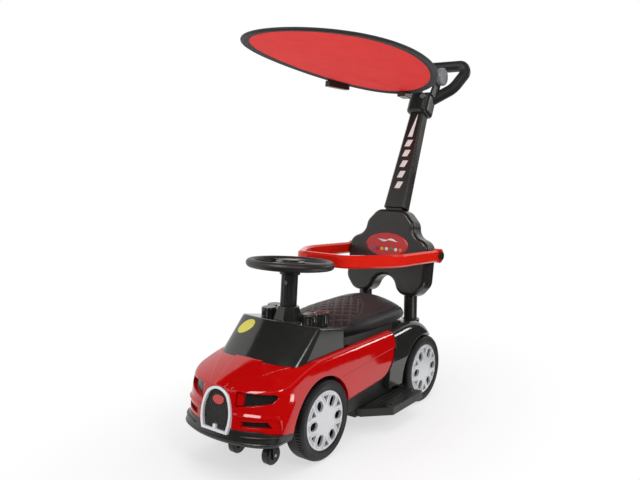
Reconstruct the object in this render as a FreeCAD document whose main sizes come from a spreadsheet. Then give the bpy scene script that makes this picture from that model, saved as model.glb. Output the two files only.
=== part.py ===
import FreeCAD, Part
import math
import os
import Sketcher
from FreeCAD import Placement, Rotation, Vector

# Driving dimensions: lengths in millimetres, angles in degrees, counts and shares as plain numbers.
# X runs to the driver's left, Y to the rear and Z up. Places along Y are from the middle of the wheelbase.
SIZES = {
    # Frame: the wheelbase middle lies this far along Y from the point under the middle of the whole object
    "middle_y": -64.25,
    "cut_overrun": 5.0,
    "soft_gap": 0.4,
    "seat_gap": 0.3,
    "running_gap": 0.06,
    "edge_slack": 1.0,
    # Road wheels
    "wheelbase": 398.0,
    "wheel_radius": 80.0,
    "wheel_width": 42.0,
    "wheel_face": 121.0,
    "front_wheel_lift": 1.5,
    "tread_crown": 1.6,
    "tread_shoulder": 7.0,
    "wall_radius": 74.0,
    "hub_radius": 58.0,
    "hub_depth": 9.0,
    "hub_skin": 3.0,
    "hub_dome": 2.0,
    "hub_eye_radius": 31.0,
    "wheel_boss_radius": 15.0,
    "wheel_boss_step": 3.0,
    "web_inner": 10.0,
    "spoke_window_radius": 8.6,
    "spoke_window_inner": 36.5,
    "spoke_window_outer": 42.5,
    "small_window_inner": 37.0,
    "small_window_outer": 51.0,
    "small_window_half": 8.5,
    "window_count": 6,
    "window_rim": 2.2,
    "window_rim_rise": 0.8,
    "axle_radius": 5.0,
    "nut_radius": 9.5,
    "nut_length": 2.0,
    "axle_tail": 1.2,
    "spacer_radius": 8.5,
    # Chassis tub
    "floor_z": 60.0,
    "tub_wall": 4.0,
    "tub_narrow": 68.0,
    "tub_front": -328.0,
    "tub_rear": 225.0,
    "bay_front": -98.0,
    "bay_rear": 76.0,
    "tub_low_height": 84.0,
    "bay_height": 151.0,
    "curb_front_z": 222.0,
    "curb_rear_z": 212.0,
    "boss_height": 28.0,
    "boss_wall": 6.0,
    # Footrests and the tray they slide in
    "footrest_inner": 62.0,
    "footrest_outer": 160.0,
    "footrest_front": -60.0,
    "footrest_rear": 111.0,
    "footrest_tail": 9.0,
    "footrest_cut": 50.0,
    "footrest_thick": 17.0,
    "footrest_edge": 5.0,
    "tread_rib_width": 5.0,
    "tread_rib_height": 1.3,
    "tread_rib_pitch": 10.0,
    "tread_rib_count": 5,
    "tray_thick": 3.0,
    "tray_half": 98.0,
    "tray_rear_half": 66.0,
    # Swivel casters
    "caster_x": 44.0,
    "caster_y": -286.0,
    "caster_trail": 12.0,
    "caster_radius": 20.0,
    "caster_width": 18.0,
    "caster_edge": 3.0,
    "caster_pin_radius": 3.0,
    "caster_stem_radius": 6.0,
    "fork_plate_radius": 17.0,
    "fork_plate": 4.0,
    "fork_cheek": 3.0,
    "fork_cheek_half": 7.0,
    # Red body shell
    "shell_wall": 3.0,
    "skirt_z": 88.0,
    "skirt_front_z": 102.5,
    "skirt_front_y": -355.0,
    "skirt_corner_y": -344.0,
    "skirt_corner_z": 98.0,
    "belt_z": 198.0,
    "belt_crown": 20.0,
    "side_low": 117.0,
    "side_mid": 121.0,
    "side_high": 108.0,
    "side_mid_z": 132.0,
    "side_high_z": 232.0,
    "low_root": -312.0,
    "low_tip": -378.0,
    "mid_root": -297.0,
    "mid_tip": -375.0,
    "high_root": -280.0,
    "high_tip": -342.0,
    "lip_root": -330.0,
    "lip_tip": -381.0,
    "hood_lip_y": -368.0,
    "hood_lip_z": 170.0,
    "hood_mid_y": -315.0,
    "hood_mid_z": 194.0,
    "hood_end_y": -244.0,
    "hood_end_z": 214.5,
    "hood_edge_round": 13.0,
    "spine_rise": 1.3,
    "spine_low_half": 9.0,
    "spine_high_half": 46.0,
    "flank_low_half": 18.0,
    "flank_high_half": 106.0,
    "arch_front_y": -205.0,
    "arch_radius": 88.5,
    "arch_wall": 3.0,
    "well_half": 73.0,
    "door_top_rear": 42.0,
    "door_bulge_y": 60.0,
    "door_bulge_z": 150.0,
    "door_low_y": 8.0,
    "door_low_z": 106.0,
    "door_recess": 2.5,
    "crease_front_y": -160.0,
    "crease_front_z": 153.0,
    "crease_rear_z": 167.0,
    "sill_z": 97.0,
    "hull_rear_y": 80.0,
    # Nose pieces
    "grille_low_y": -379.0,
    "grille_low_z": 92.5,
    "grille_tilt": 9.5,
    "grille_height": 82.0,
    "grille_low_half": 32.0,
    "grille_mid_half": 36.5,
    "grille_mid_height": 42.0,
    "grille_band": 5.0,
    "grille_proud": 3.0,
    "grille_depth": 16.0,
    "grille_pocket_depth": 48.0,
    "tooth_half": 3.5,
    "tooth_height": 8.0,
    "mesh_recess": 6.0,
    "mesh_depth": 6.0,
    "lamp_inner": 40.0,
    "lamp_outer": 108.0,
    "lamp_low": 142.0,
    "lamp_high": 170.0,
    "lamp_slope": 7.0,
    "lamp_depth": 5.0,
    "lamp_low_rise": 9.0,
    "lamp_high_fall": 2.5,
    "lamp_nick": 5.0,
    "intake_inner": 54.0,
    "intake_outer": 105.0,
    "intake_low": 109.0,
    "intake_high": 120.0,
    "lip_low_z": 74.0,
    "lip_step": 4.0,
    "lip_depth": 12.0,
    # Windscreen cowl
    "cowl_half_low": 103.0,
    "cowl_half_high": 101.0,
    "cowl_base_y": -297.0,
    "cowl_corner_y": -240.0,
    "cowl_base_z": 196.0,
    "cowl_top_z": 268.0,
    "cowl_top_y": -208.0,
    "cowl_top_corner_y": -178.0,
    "cowl_rear": -113.0,
    "shelf_front_z": 266.0,
    "shelf_rear_z": 244.0,
    "cowl_round": 6.0,
    "pod_radius": 16.0,
    "pod_front_x": 54.0,
    "pod_front_y": -162.0,
    "pod_rear_x": 62.0,
    "pod_rear_y": -134.0,
    "pod_top_z": 276.0,
    "pod_round": 3.0,
    # Rear shell
    "rear_front": 42.0,
    "rear_end": 284.0,
    "rear_nose": 22.0,
    "rear_low_z": 72.0,
    "rear_top_z": 184.0,
    "rear_round": 20.0,
    "rear_arch_back": -8.0,
    "rear_arch_drop": 3.0,
    "rear_arch_radius": 91.0,
    "rear_brow_z": 201.0,
    "rear_deck_y": 125.0,
    "rear_fall_y": 168.0,
    "rear_deck_z": 204.0,
    "rear_fall_z": 201.5,
    "rear_tail_y": 248.0,
    "rear_tail_high": 148.0,
    "rear_hip_y": 214.0,
    "rear_hip_z": 183.0,
    "rear_tail_z": 108.0,
    "socket_wall": 6.0,
    "socket_depth": 22.0,
    "socket_foot": 39.0,
    # Steering
    "steer_y": -157.0,
    "steer_z": 371.0,
    "steer_tilt": 5.0,
    "rim_radius": 82.0,
    "rim_tube": 8.5,
    "hub_cup_radius": 30.0,
    "hub_cup_low": 15.0,
    "hub_cup_high": 5.0,
    "spoke_width": 22.0,
    "spoke_thick": 8.0,
    "spoke_count": 3,
    "spoke_start": 30.0,
    "horn_radius": 18.0,
    "horn_height": 9.0,
    "horn_travel": 3.0,
    "horn_proud": 4.0,
    "flange_radius": 21.0,
    "flange_thick": 6.0,
    "column_radius": 17.0,
    "column_length": 64.0,
    "flute_radius": 2.2,
    "flute_count": 14,
    "shaft_radius": 8.0,
    "shaft_length": 74.0,
    "boss_top_radius": 23.0,
    "boss_low_radius": 36.0,
    "boss_tall": 40.0,
    "boss_facets": 8,
    "clip_radius": 14.0,
    "clip_thick": 3.0,
    "screw_radius": 2.0,
    "screw_head_radius": 4.0,
    "screw_head": 2.0,
    "screw_drop": 16.0,
    # Seat
    "seat_front": -100.0,
    "seat_rear": 182.0,
    "seat_front_half": 62.0,
    "seat_half": 96.0,
    "seat_rear_half": 64.0,
    "seat_base": 2.8,
    "seat_side_height": 18.0,
    "seat_crown": 49.0,
    "knuckle_radius": 5.0,
    "knuckle_half": 24.0,
    "hinge_pin_radius": 2.0,
    "hinge_y": -107.0,
    "hinge_z": 238.0,
    "hinge_ear": 8.0,
    # Backrest
    "back_low_y": 226.0,
    "back_low_z": 246.0,
    "back_lean": 9.4,
    "back_front_depth": 26.0,
    "back_rear_depth": 22.0,
    "back_wall": 3.0,
    "back_half": 112.0,
    "back_shoulder_height": 130.0,
    "back_neck_half": 70.0,
    "back_neck_height": 146.0,
    "back_head_half": 66.0,
    "back_head_height": 176.0,
    "back_top_half": 38.0,
    "back_height": 206.0,
    "lobe_inner": 40.0,
    "lobe_outer": 88.0,
    "lobe_side_height": 30.0,
    "arch_height": 44.0,
    "arch_top_half": 22.0,
    "back_corner_round": 30.0,
    "back_edge_round": 9.0,
    "leg_x": 65.0,
    "leg_radius": 16.0,
    "leg_insert": 40.0,
    # Guard rail
    "rail_pivot_y": 252.0,
    "rail_pivot_z": 347.0,
    "rail_half": 122.0,
    "rail_reach": 302.0,
    "rail_knee": 200.0,
    "rail_knee_round": 150.0,
    "rail_front_half": 60.0,
    "rail_front_round": 30.0,
    "rail_rise": 3.6,
    "rail_tall": 28.0,
    "rail_thick": 14.0,
    "rail_round": 4.0,
    "rail_knuckle_radius": 17.0,
    "rail_bolt_radius": 5.0,
    "rail_cap_radius": 10.0,
    "rail_cap_thick": 5.0,
    # Push pole, collar and handle
    "pole_low_y": 262.0,
    "pole_low_z": 452.0,
    "pole_lean": 24.7,
    "pole_length": 262.0,
    "pole_low_width": 60.0,
    "pole_top_width": 38.0,
    "pole_low_depth": 32.0,
    "pole_top_depth": 34.0,
    "pole_round": 5.0,
    "plug_length": 52.0,
    "plug_width": 46.0,
    "plug_depth": 24.0,
    "collar_width": 58.0,
    "collar_depth": 52.0,
    "collar_height": 50.0,
    "collar_drop": 5.0,
    "collar_round": 14.0,
    "collar_edge_round": 8.0,
    "collar_bolt_radius": 4.0,
    "collar_bolt_head": 7.0,
    "collar_bolt_proud": 4.0,
    "collar_bolt_drop": 10.0,
    "handle_tube": 14.5,
    "handle_root_half": 17.0,
    "handle_root_y": 396.0,
    "handle_root_z": 722.0,
    "handle_bow_half": 53.0,
    "handle_bow_y": 455.0,
    "handle_bow_z": 756.0,
    "handle_knee_half": 70.0,
    "handle_knee_y": 491.0,
    "handle_knee_z": 798.0,
    "handle_grip_half": 60.0,
    "handle_grip_y": 496.0,
    "handle_grip_z": 817.0,
    "handle_bow_round": 90.0,
    "handle_knee_round": 19.0,
    "handle_grip_round": 16.0,
    # Canopy and its bracket
    "tilt_y": 419.0,
    "tilt_z": 784.0,
    "bracket_half": 26.0,
    "bracket_ear": 6.0,
    "bracket_ear_radius": 18.0,
    "tilt_pin_radius": 4.0,
    "knob_radius": 22.5,
    "knob_thick": 13.0,
    "arm_half": 11.0,
    "arm_thick": 12.0,
    "arm_clamp": 26.0,
    "canopy_y": 35.0,
    "canopy_z": 788.0,
    "canopy_pitch": 8.6,
    "canopy_half_length": 274.0,
    "canopy_half_width": 176.0,
    "canopy_saddle": 10.0,
    "canopy_thick": 3.0,
    "binding_width": 18.0,
    "binding_thick": 7.0,
    "clip_length": 50.0,
    "clip_angle": 143.0,
    "clip_width": 10.0,
    "clip_tall": 14.0,
    # Screws in the floor
    "floor_screw_radius": 2.5,
    "floor_screw_head": 2.5,
    "floor_screw_x": 52.0,
    "floor_screw_y": 150.0,
}


class Dim:
    """A size: its number and the sheet expression that gives it."""

    def __init__(self, number, text):
        self.number = float(number)
        self.text = text

    def __float__(self):
        return self.number

    def join(self, sign, other, number):
        return Dim(number, f"({self.text} {sign} {as_dim(other).text})")

    def __add__(self, other):
        return self.join("+", other, self.number + float(other))

    def __sub__(self, other):
        return self.join("-", other, self.number - float(other))

    def __mul__(self, other):
        return self.join("*", other, self.number * float(other))

    def __truediv__(self, other):
        return self.join("/", other, self.number / float(other))

    def __radd__(self, other):
        return as_dim(other) + self

    def __rsub__(self, other):
        return as_dim(other) - self

    def __rmul__(self, other):
        return as_dim(other) * self

    def __neg__(self):
        return Dim(-self.number, f"(0 - {self.text})")


def as_dim(value):
    return value if isinstance(value, Dim) else Dim(value, repr(float(value)))


class Sizes:
    """The sheet's cells by name."""

    def __getattr__(self, alias):
        return Dim(SIZES[alias], "sizes." + alias)


s = Sizes()
ZERO = Dim(0, "0")
ALONG_X = Rotation(Vector(0, 1, 0), 90)
ALONG_MINUS_X = Rotation(Vector(0, 1, 0), -90)
UPRIGHT = Rotation()

doc = FreeCAD.newDocument("push_car")
sheet = doc.addObject("Spreadsheet::Sheet", "sizes")
for row, (alias, value) in enumerate(SIZES.items(), start=1):
    sheet.set(f"A{row}", alias)
    sheet.set(f"B{row}", str(value))
    sheet.setAlias(f"B{row}", alias)
doc.recompute()
nodes = []


def bind(obj, **sizes):
    for name, value in sizes.items():
        obj.setExpression(name, as_dim(value).text)


def placed(obj, x=ZERO, y=ZERO, z=ZERO, turn=UPRIGHT):
    """Put an object at a place in the frame."""
    obj.Placement = Placement(Vector(x, y, z), turn)
    for axis, value in zip("xyz", (x, y, z)):
        obj.setExpression(f"Placement.Base.{axis}", as_dim(value).text)
    return obj


def node(obj, label, x=ZERO, y=ZERO, z=ZERO, turn=UPRIGHT):
    """Name an object as a sub-part and put it in the part's frame."""
    obj.Label = label
    nodes.append(obj)
    return placed(obj, x, s.middle_y + y, z, turn)


def feature(label, shape):
    """A sub-part whose shape is worked out here; it keeps the place the shape was given."""
    obj = doc.addObject("Part::Feature", label)
    obj.Shape = shape
    return node(obj, label, *shape.Placement.Base, shape.Placement.Rotation)


def cylinder(name, radius, length, x=ZERO, y=ZERO, z=ZERO, turn=UPRIGHT):
    obj = doc.addObject("Part::Cylinder", name)
    bind(obj, Radius=radius, Height=length)
    return placed(obj, x, y, z, turn)


def box(name, low, high):
    obj = doc.addObject("Part::Box", name)
    spans = [as_dim(b) - a for a, b in zip(low, high)]
    bind(obj, Length=spans[0], Width=spans[1], Height=spans[2])
    return placed(obj, *low)


def fuse(name, *shapes):
    obj = doc.addObject("Part::MultiFuse", name)
    obj.Shapes = list(shapes)
    return obj


def cut(name, base, tool):
    obj = doc.addObject("Part::Cut", name)
    obj.Base = base
    obj.Tool = tool
    return obj


def group(name, *links):
    obj = doc.addObject("Part::Compound", name)
    obj.Links = list(links)
    return obj


def ring(name, inner, outer, length, x=ZERO, y=ZERO, z=ZERO, turn=UPRIGHT):
    outside = cylinder(name + "_outside", outer, length, x, y, z, turn)
    inside = cylinder(name + "_inside", inner, length, x, y, z, turn)
    return cut(name, outside, inside)


def new_body(label):
    body = doc.addObject("PartDesign::Body", label)
    body.Label = label
    return body


def origin(body, role):
    return next(item for item in body.Origin.OriginFeatures if item.Role == role)


def new_sketch(body, role, offset=ZERO):
    sketch = body.newObject("Sketcher::SketchObject", body.Label + "_sketch")
    sketch.AttachmentSupport = [(origin(body, role), "")]
    sketch.MapMode = "FlatFace"
    sketch.setExpression("AttachmentOffset.Base.z", as_dim(offset).text)
    return sketch


def pin_point(sketch, index, end, point):
    """Hold one point of a sketch by its two bound distances."""
    for kind, axis, value in zip(("DistanceX", "DistanceY"), (-2, -1), map(as_dim, point)):
        if value.number == 0:
            sketch.addConstraint(Sketcher.Constraint("PointOnObject", index, end, axis))
            continue
        held = sketch.addConstraint(Sketcher.Constraint(kind, -1, 1, index, end, value.number))
        sketch.setExpression(f"Constraints[{held}]", value.text)


def polygon(sketch, points):
    first = sketch.GeometryCount
    corners = [Vector(x, y, 0) for x, y in points]
    for here, there in zip(corners, corners[1:] + corners[:1]):
        sketch.addGeometry(Part.LineSegment(here, there))
    for step in range(len(points)):
        following = first + (step + 1) % len(points)
        sketch.addConstraint(Sketcher.Constraint("Coincident", first + step, 2, following, 1))
    for step, point in enumerate(points):
        pin_point(sketch, first + step, 1, point)


def circle(sketch, x, y, radius):
    index = sketch.addGeometry(Part.Circle(Vector(x, y, 0), Vector(0, 0, 1), float(radius)))
    pin_point(sketch, index, 3, (x, y))
    held = sketch.addConstraint(Sketcher.Constraint("Radius", index, float(radius)))
    sketch.setExpression(f"Constraints[{held}]", as_dim(radius).text)


def slot(sketch, low, high, radius):
    """A slot on the sketch's vertical axis with round ends."""
    up = Vector(0, 0, 1)
    far = Part.ArcOfCircle(Part.Circle(Vector(0, high, 0), up, float(radius)), 0, math.pi)
    near = Part.ArcOfCircle(Part.Circle(Vector(0, low, 0), up, float(radius)), math.pi, 2 * math.pi)
    left = Part.LineSegment(Vector(-radius, high, 0), Vector(-radius, low, 0))
    right = Part.LineSegment(Vector(radius, low, 0), Vector(radius, high, 0))
    top, side, bottom, back = [sketch.addGeometry(item) for item in (far, left, near, right)]
    for here, there in ((top, side), (side, bottom), (bottom, back), (back, top)):
        sketch.addConstraint(Sketcher.Constraint("Tangent", here, 2, there, 1))
    pin_point(sketch, top, 3, (ZERO, high))
    pin_point(sketch, bottom, 3, (ZERO, low))
    held = sketch.addConstraint(Sketcher.Constraint("Radius", top, float(radius)))
    sketch.setExpression(f"Constraints[{held}]", as_dim(radius).text)


def pad(body, sketch, length, reverse=False):
    obj = body.newObject("PartDesign::Pad", body.Label + "_pad")
    obj.Profile = sketch
    bind(obj, Length=length)
    obj.Reversed = reverse
    doc.recompute()
    return obj


def pocket(body, sketch, reverse=False, length=None):
    obj = body.newObject("PartDesign::Pocket", body.Label + "_pocket")
    obj.Profile = sketch
    obj.Reversed = reverse
    if length is None:
        obj.Type = "ThroughAll"
    else:
        bind(obj, Length=length)
    doc.recompute()
    return obj


def revolve(body, points):
    """Turn an outline of (radius, height) points about the body's own axis."""
    sketch = new_sketch(body, "XZ_Plane")
    polygon(sketch, points)
    obj = body.newObject("PartDesign::Revolution", body.Label + "_turned")
    obj.Profile = sketch
    obj.ReferenceAxis = (sketch, ["V_Axis"])
    doc.recompute()
    return obj


def around(body, original, count):
    obj = body.newObject("PartDesign::PolarPattern", body.Label + "_around")
    obj.Originals = [original]
    obj.Axis = (origin(body, "Z_Axis"), [""])
    obj.Angle = 360
    bind(obj, Occurrences=count)
    body.Tip = obj
    doc.recompute()
    return obj


def fillet(body, base, radius, wanted):
    """Round the edges of a feature that the test picks."""
    names = [f"Edge{n}" for n, edge in enumerate(base.Shape.Edges, start=1) if wanted(edge)]
    obj = body.newObject("PartDesign::Fillet", body.Label + "_round")
    obj.Base = (base, names)
    bind(obj, Radius=radius)
    doc.recompute()
    return obj


def runs_along(edge, axis):
    first, last = (vertex.Point for vertex in (edge.Vertexes[0], edge.Vertexes[-1]))
    span = last - first
    return len(edge.Vertexes) == 2 and span.Length > 0 and abs(span.normalize().dot(axis)) > 0.999


def lies_at(edge, axis, place):
    return all(abs(vertex.Point.dot(axis) - float(place)) < 1e-4 for vertex in edge.Vertexes)


X_AXIS, Y_AXIS, Z_AXIS = Vector(1, 0, 0), Vector(0, 1, 0), Vector(0, 0, 1)
SIDES = (("left", 1), ("right", -1))


def closed(*edges):
    return Part.Wire([edge.toShape() for edge in edges])


def segment(here, there):
    return Part.LineSegment(Vector(*here), Vector(*there))


def polyface(points):
    corners = [Vector(*point) for point in points]
    return Part.Face(Part.makePolygon(corners + corners[:1]))


def block(low, high):
    spans = [float(b) - float(a) for a, b in zip(low, high)]
    return Part.makeBox(*spans, Vector(*low))


def rod(radius, start, end):
    along = Vector(*end) - Vector(*start)
    return Part.makeCylinder(float(radius), along.Length, Vector(*start), along)


def rounded_path(points, radii):
    """Straight runs joined by tangent arcs of the given radii at the inner corners."""
    corners = [Vector(*point) for point in points]
    edges = []
    start = corners[0]
    for before, corner, after, radius in zip(corners, corners[1:], corners[2:], radii):
        back = (before - corner).normalize()
        ahead = (after - corner).normalize()
        half_turn = (math.pi - back.getAngle(ahead)) / 2
        reach = float(radius) * math.tan(half_turn)
        inward = (back + ahead).normalize()
        middle = corner + inward * (float(radius) / math.cos(half_turn) - float(radius))
        edges.append(Part.LineSegment(start, corner + back * reach).toShape())
        edges.append(Part.Arc(corner + back * reach, middle, corner + ahead * reach).toShape())
        start = corner + ahead * reach
    edges.append(Part.LineSegment(start, corners[-1]).toShape())
    return Part.Wire(edges)


def swept(path, section):
    pipe = Part.BRepOffsetAPI.MakePipeShell(path)
    pipe.add(section, False, False)
    pipe.build()
    pipe.makeSolid()
    return pipe.shape()


def clean(shape):
    """Merge split faces where that leaves a valid solid."""
    merged = shape.copy().removeSplitter()
    return merged if merged.isValid() else shape


def mirrored(shape):
    return shape.mirror(Vector(0, 0, 0), X_AXIS)


front_axle_y = -s.wheelbase / 2
rear_axle_y = s.wheelbase / 2
front_axle_z = s.wheel_radius + s.front_wheel_lift
rear_axle_z = s.wheel_radius
AXLES = (("front", front_axle_y, front_axle_z), ("rear", rear_axle_y, rear_axle_z))
wheel_inner = s.wheel_face - s.wheel_width
tub_wide = s.cowl_half_low + s.soft_gap - s.seat_gap


# Road wheels: a black moulded tyre body on the axle and a silver cap pressed into its face
def small_window(grow):
    """Corners of one small window between two spokes, grown outward all round."""
    slant = math.atan2(s.small_window_half, s.small_window_outer - s.small_window_inner)
    inner, outer = s.small_window_inner - grow / math.sin(slant), s.small_window_outer + grow
    half = (outer - inner) * math.tan(slant)
    half_step = math.pi / SIZES["window_count"]
    along = Vector(math.sin(half_step), math.cos(half_step), 0)
    side = Vector(along.y, -along.x, 0)
    reaches = ((inner, ZERO), (outer, half), (outer, -half))
    return [(reach * along.x + width * side.x, reach * along.y + width * side.y) for reach, width in reaches]


web_outer = s.wheel_width - s.hub_depth - s.hub_dome
for end, axle_y, axle_z in AXLES:
    for side, sign in SIDES:
        turn = ALONG_X if sign > 0 else ALONG_MINUS_X
        seat = dict(x=sign * wheel_inner, y=axle_y, z=axle_z, turn=turn)
        bore = s.axle_radius + s.running_gap
        tyre = new_body(f"{end}_{side}_tyre")
        revolve(tyre, [
            (bore, s.wheel_boss_step),
            (s.wheel_boss_radius, s.wheel_boss_step),
            (s.wheel_boss_radius, s.web_inner),
            (s.hub_radius, s.web_inner),
            (s.hub_radius, ZERO),
            (s.wall_radius, ZERO),
            (s.wheel_radius - s.tread_crown, s.tread_shoulder / 2),
            (s.wheel_radius, s.tread_shoulder),
            (s.wheel_radius, s.wheel_width - s.tread_shoulder),
            (s.wheel_radius - s.tread_crown, s.wheel_width - s.tread_shoulder / 2),
            (s.wall_radius, s.wheel_width),
            (s.hub_radius, s.wheel_width - s.hub_dome),
            (s.hub_radius, web_outer),
            (bore, web_outer),
        ])
        node(tyre, f"{end}_{side}_tyre", **seat)
        cap = new_body(f"{end}_{side}_hub_cap")
        cap_top = web_outer + s.hub_depth
        skin_low = cap_top - s.hub_skin
        revolve(cap, [
            (ZERO, skin_low + s.hub_dome),
            (s.hub_eye_radius, skin_low + s.hub_dome),
            (s.hub_radius - s.hub_skin, skin_low),
            (s.hub_radius - s.hub_skin, web_outer),
            (s.hub_radius, web_outer),
            (s.hub_radius, cap_top),
            (s.hub_eye_radius, cap_top + s.hub_dome),
            (ZERO, cap_top + s.hub_dome),
        ])
        rim_height = s.hub_skin + s.hub_dome + s.window_rim_rise
        for grow in (s.window_rim, ZERO):
            start = skin_low if grow is not ZERO else s.wheel_width + s.cut_overrun
            shape = new_sketch(cap, "XY_Plane", start)
            slot(shape, s.spoke_window_inner, s.spoke_window_outer, s.spoke_window_radius + grow)
            made = pad(cap, shape, rim_height) if grow is not ZERO else pocket(cap, shape)
            around(cap, made, s.window_count)
            shape = new_sketch(cap, "XY_Plane", start)
            polygon(shape, small_window(grow))
            made = pad(cap, shape, rim_height) if grow is not ZERO else pocket(cap, shape)
            around(cap, made, s.window_count)
        node(cap, f"{end}_{side}_hub_cap", **seat)

# Axles: steel rods through the wheel-well walls, with a spacer and a push nut for each wheel
nut_start = wheel_inner + web_outer + s.seat_gap
axle_half = nut_start + s.nut_length + s.axle_tail
spacer_start = s.tub_narrow + s.seat_gap
spacer_length = wheel_inner + s.wheel_boss_step - s.seat_gap - spacer_start
spacers, nuts = [], []
for end, axle_y, axle_z in AXLES:
    rod_piece = cylinder(f"{end}_axle", s.axle_radius, axle_half * 2)
    node(rod_piece, f"{end}_axle", -axle_half, axle_y, axle_z, ALONG_X)
    for side, sign in SIDES:
        turn = ALONG_X if sign > 0 else ALONG_MINUS_X
        where = dict(y=axle_y, z=axle_z, turn=turn)
        spacers.append(ring(f"{end}_{side}_spacer", s.axle_radius, s.spacer_radius, spacer_length,
                            x=sign * spacer_start, **where))
        nuts.append(ring(f"{end}_{side}_nut", s.axle_radius, s.nut_radius, s.nut_length,
                         x=sign * nut_start, **where))
node(group("wheel_spacers", *spacers), "wheel_spacers")
node(group("axle_push_nuts", *nuts), "axle_push_nuts")


# Chassis tub: a black tray, narrow between the wheels and wide where the storage bin is
def tub_outline(inset):
    narrow, wide = s.tub_narrow - inset, tub_wide - inset
    front, rear = s.tub_front + inset, s.tub_rear - inset
    bay_front, bay_rear = s.bay_front + inset, s.bay_rear - inset
    right = [(narrow, front), (narrow, bay_front), (wide, bay_front),
             (wide, bay_rear), (narrow, bay_rear), (narrow, rear)]
    return right + [(-x, y) for x, y in reversed(right)]


tub = new_body("tub_tray")
sketch = new_sketch(tub, "XY_Plane", s.floor_z)
polygon(sketch, tub_outline(ZERO))
pad(tub, sketch, s.tub_low_height)
sketch = new_sketch(tub, "XY_Plane", s.floor_z)
bay = tub_outline(ZERO)[2:4]
polygon(sketch, bay + [(-x, y) for x, y in reversed(bay)])
pad(tub, sketch, s.bay_height)
sketch = new_sketch(tub, "XY_Plane", s.floor_z + s.tub_wall)
polygon(sketch, tub_outline(s.tub_wall))
pocket(tub, sketch, reverse=True)
curb_low = s.floor_z + s.bay_height - s.tub_wall
for start in (tub_wide - s.tub_wall, -tub_wide):
    sketch = new_sketch(tub, "YZ_Plane", start)
    polygon(sketch, [(s.cowl_rear + s.soft_gap, curb_low), (s.bay_rear, curb_low),
                     (s.bay_rear, s.curb_rear_z), (s.cowl_rear + s.soft_gap, s.curb_front_z)])
    pad(tub, sketch, s.tub_wall)
caster_bosses, tub_holes = [], []
for side, sign in SIDES:
    where = dict(x=sign * s.caster_x, y=s.caster_y)
    caster_bosses.append(cylinder(f"{side}_caster_boss", s.caster_stem_radius + s.boss_wall, s.boss_height,
                                  z=s.floor_z, **where))
    tub_holes.append(cylinder(f"{side}_stem_hole", s.caster_stem_radius + s.running_gap,
                              s.boss_height + s.cut_overrun * 2, z=s.floor_z - s.cut_overrun, **where))
for end, axle_y, axle_z in AXLES:
    tub_holes.append(cylinder(f"{end}_axle_hole", s.axle_radius, tub_wide * 2,
                              -tub_wide, axle_y, axle_z, ALONG_X))
screws = []
for n, (x_sign, y_sign) in enumerate(((1, 1), (1, -1), (-1, 1), (-1, -1))):
    where = (x_sign * s.floor_screw_x, y_sign * s.floor_screw_y)
    head = cylinder(f"floor_screw_head_{n}", s.floor_screw_radius * 2, s.floor_screw_head,
                    *where, s.floor_z - s.floor_screw_head)
    shank = cylinder(f"floor_screw_shank_{n}", s.floor_screw_radius, s.tub_wall, *where, s.floor_z)
    screws.append(fuse(f"floor_screw_{n}", head, shank))
    tub_holes.append(cylinder(f"floor_screw_hole_{n}", s.floor_screw_radius, s.tub_wall, *where, s.floor_z))
node(group("floor_screws", *screws), "floor_screws")
tub_solid = fuse("tub_with_bosses", tub, *caster_bosses)
node(cut("chassis_tub", tub_solid, group("tub_holes", *tub_holes)), "chassis_tub")

# Footrests: ribbed plates that slide in under the floor, on a tray screwed to it
footrest_top = s.floor_z - s.seat_gap - s.tread_rib_height - s.soft_gap
footrest_low = footrest_top - s.footrest_thick
for side, sign in SIDES:
    plate = new_body(f"{side}_footrest")
    sketch = new_sketch(plate, "XY_Plane", footrest_low)
    inner, outer = sign * s.footrest_inner, sign * s.footrest_outer
    knee = sign * (s.footrest_outer - s.footrest_cut)
    polygon(sketch, [(inner, s.footrest_front), (knee, s.footrest_front),
                     (outer, s.footrest_front + s.footrest_cut), (outer, s.footrest_rear + s.footrest_tail),
                     (sign * (s.wheel_face + s.soft_gap), s.footrest_rear), (inner, s.footrest_rear)])
    slab = pad(plate, sketch, s.footrest_thick)
    far_edge = float(s.footrest_outer - s.soft_gap)
    fillet(plate, slab, s.footrest_edge,
           lambda edge: runs_along(edge, Z_AXIS) and abs(edge.Vertexes[0].Point.x) > far_edge)
    sketch = new_sketch(plate, "XY_Plane", footrest_top)
    for rib in range(SIZES["tread_rib_count"]):
        start = s.footrest_outer - s.footrest_edge * 2 - s.tread_rib_pitch * rib
        rib_front = s.footrest_front + s.footrest_cut - s.tread_rib_pitch * rib + s.footrest_edge * 2
        polygon(sketch, [(sign * start, rib_front), (sign * start, s.footrest_rear - s.footrest_edge * 2),
                         (sign * (start - s.tread_rib_width), s.footrest_rear - s.footrest_edge * 2),
                         (sign * (start - s.tread_rib_width), rib_front)])
    pad(plate, sketch, s.tread_rib_height)
    node(plate, f"{side}_footrest")
tray_low = footrest_low - s.seat_gap - s.tray_thick
tray_front = s.footrest_front - s.seat_gap
tray_rear = s.footrest_rear + s.seat_gap
tray_floor = box("tray_floor", (-s.tray_half, tray_front - s.tray_thick, tray_low),
                 (s.tray_half, tray_rear + s.tray_thick, tray_low + s.tray_thick))
tray_ends = [box("tray_front_end", (-s.tray_half, tray_front - s.tray_thick, tray_low),
                 (s.tray_half, tray_front, s.floor_z)),
             box("tray_rear_end", (-s.tray_rear_half, tray_rear, tray_low),
                 (s.tray_rear_half, tray_rear + s.tray_thick, s.floor_z))]
node(fuse("footrest_tray", tray_floor, *tray_ends), "footrest_tray")

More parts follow.
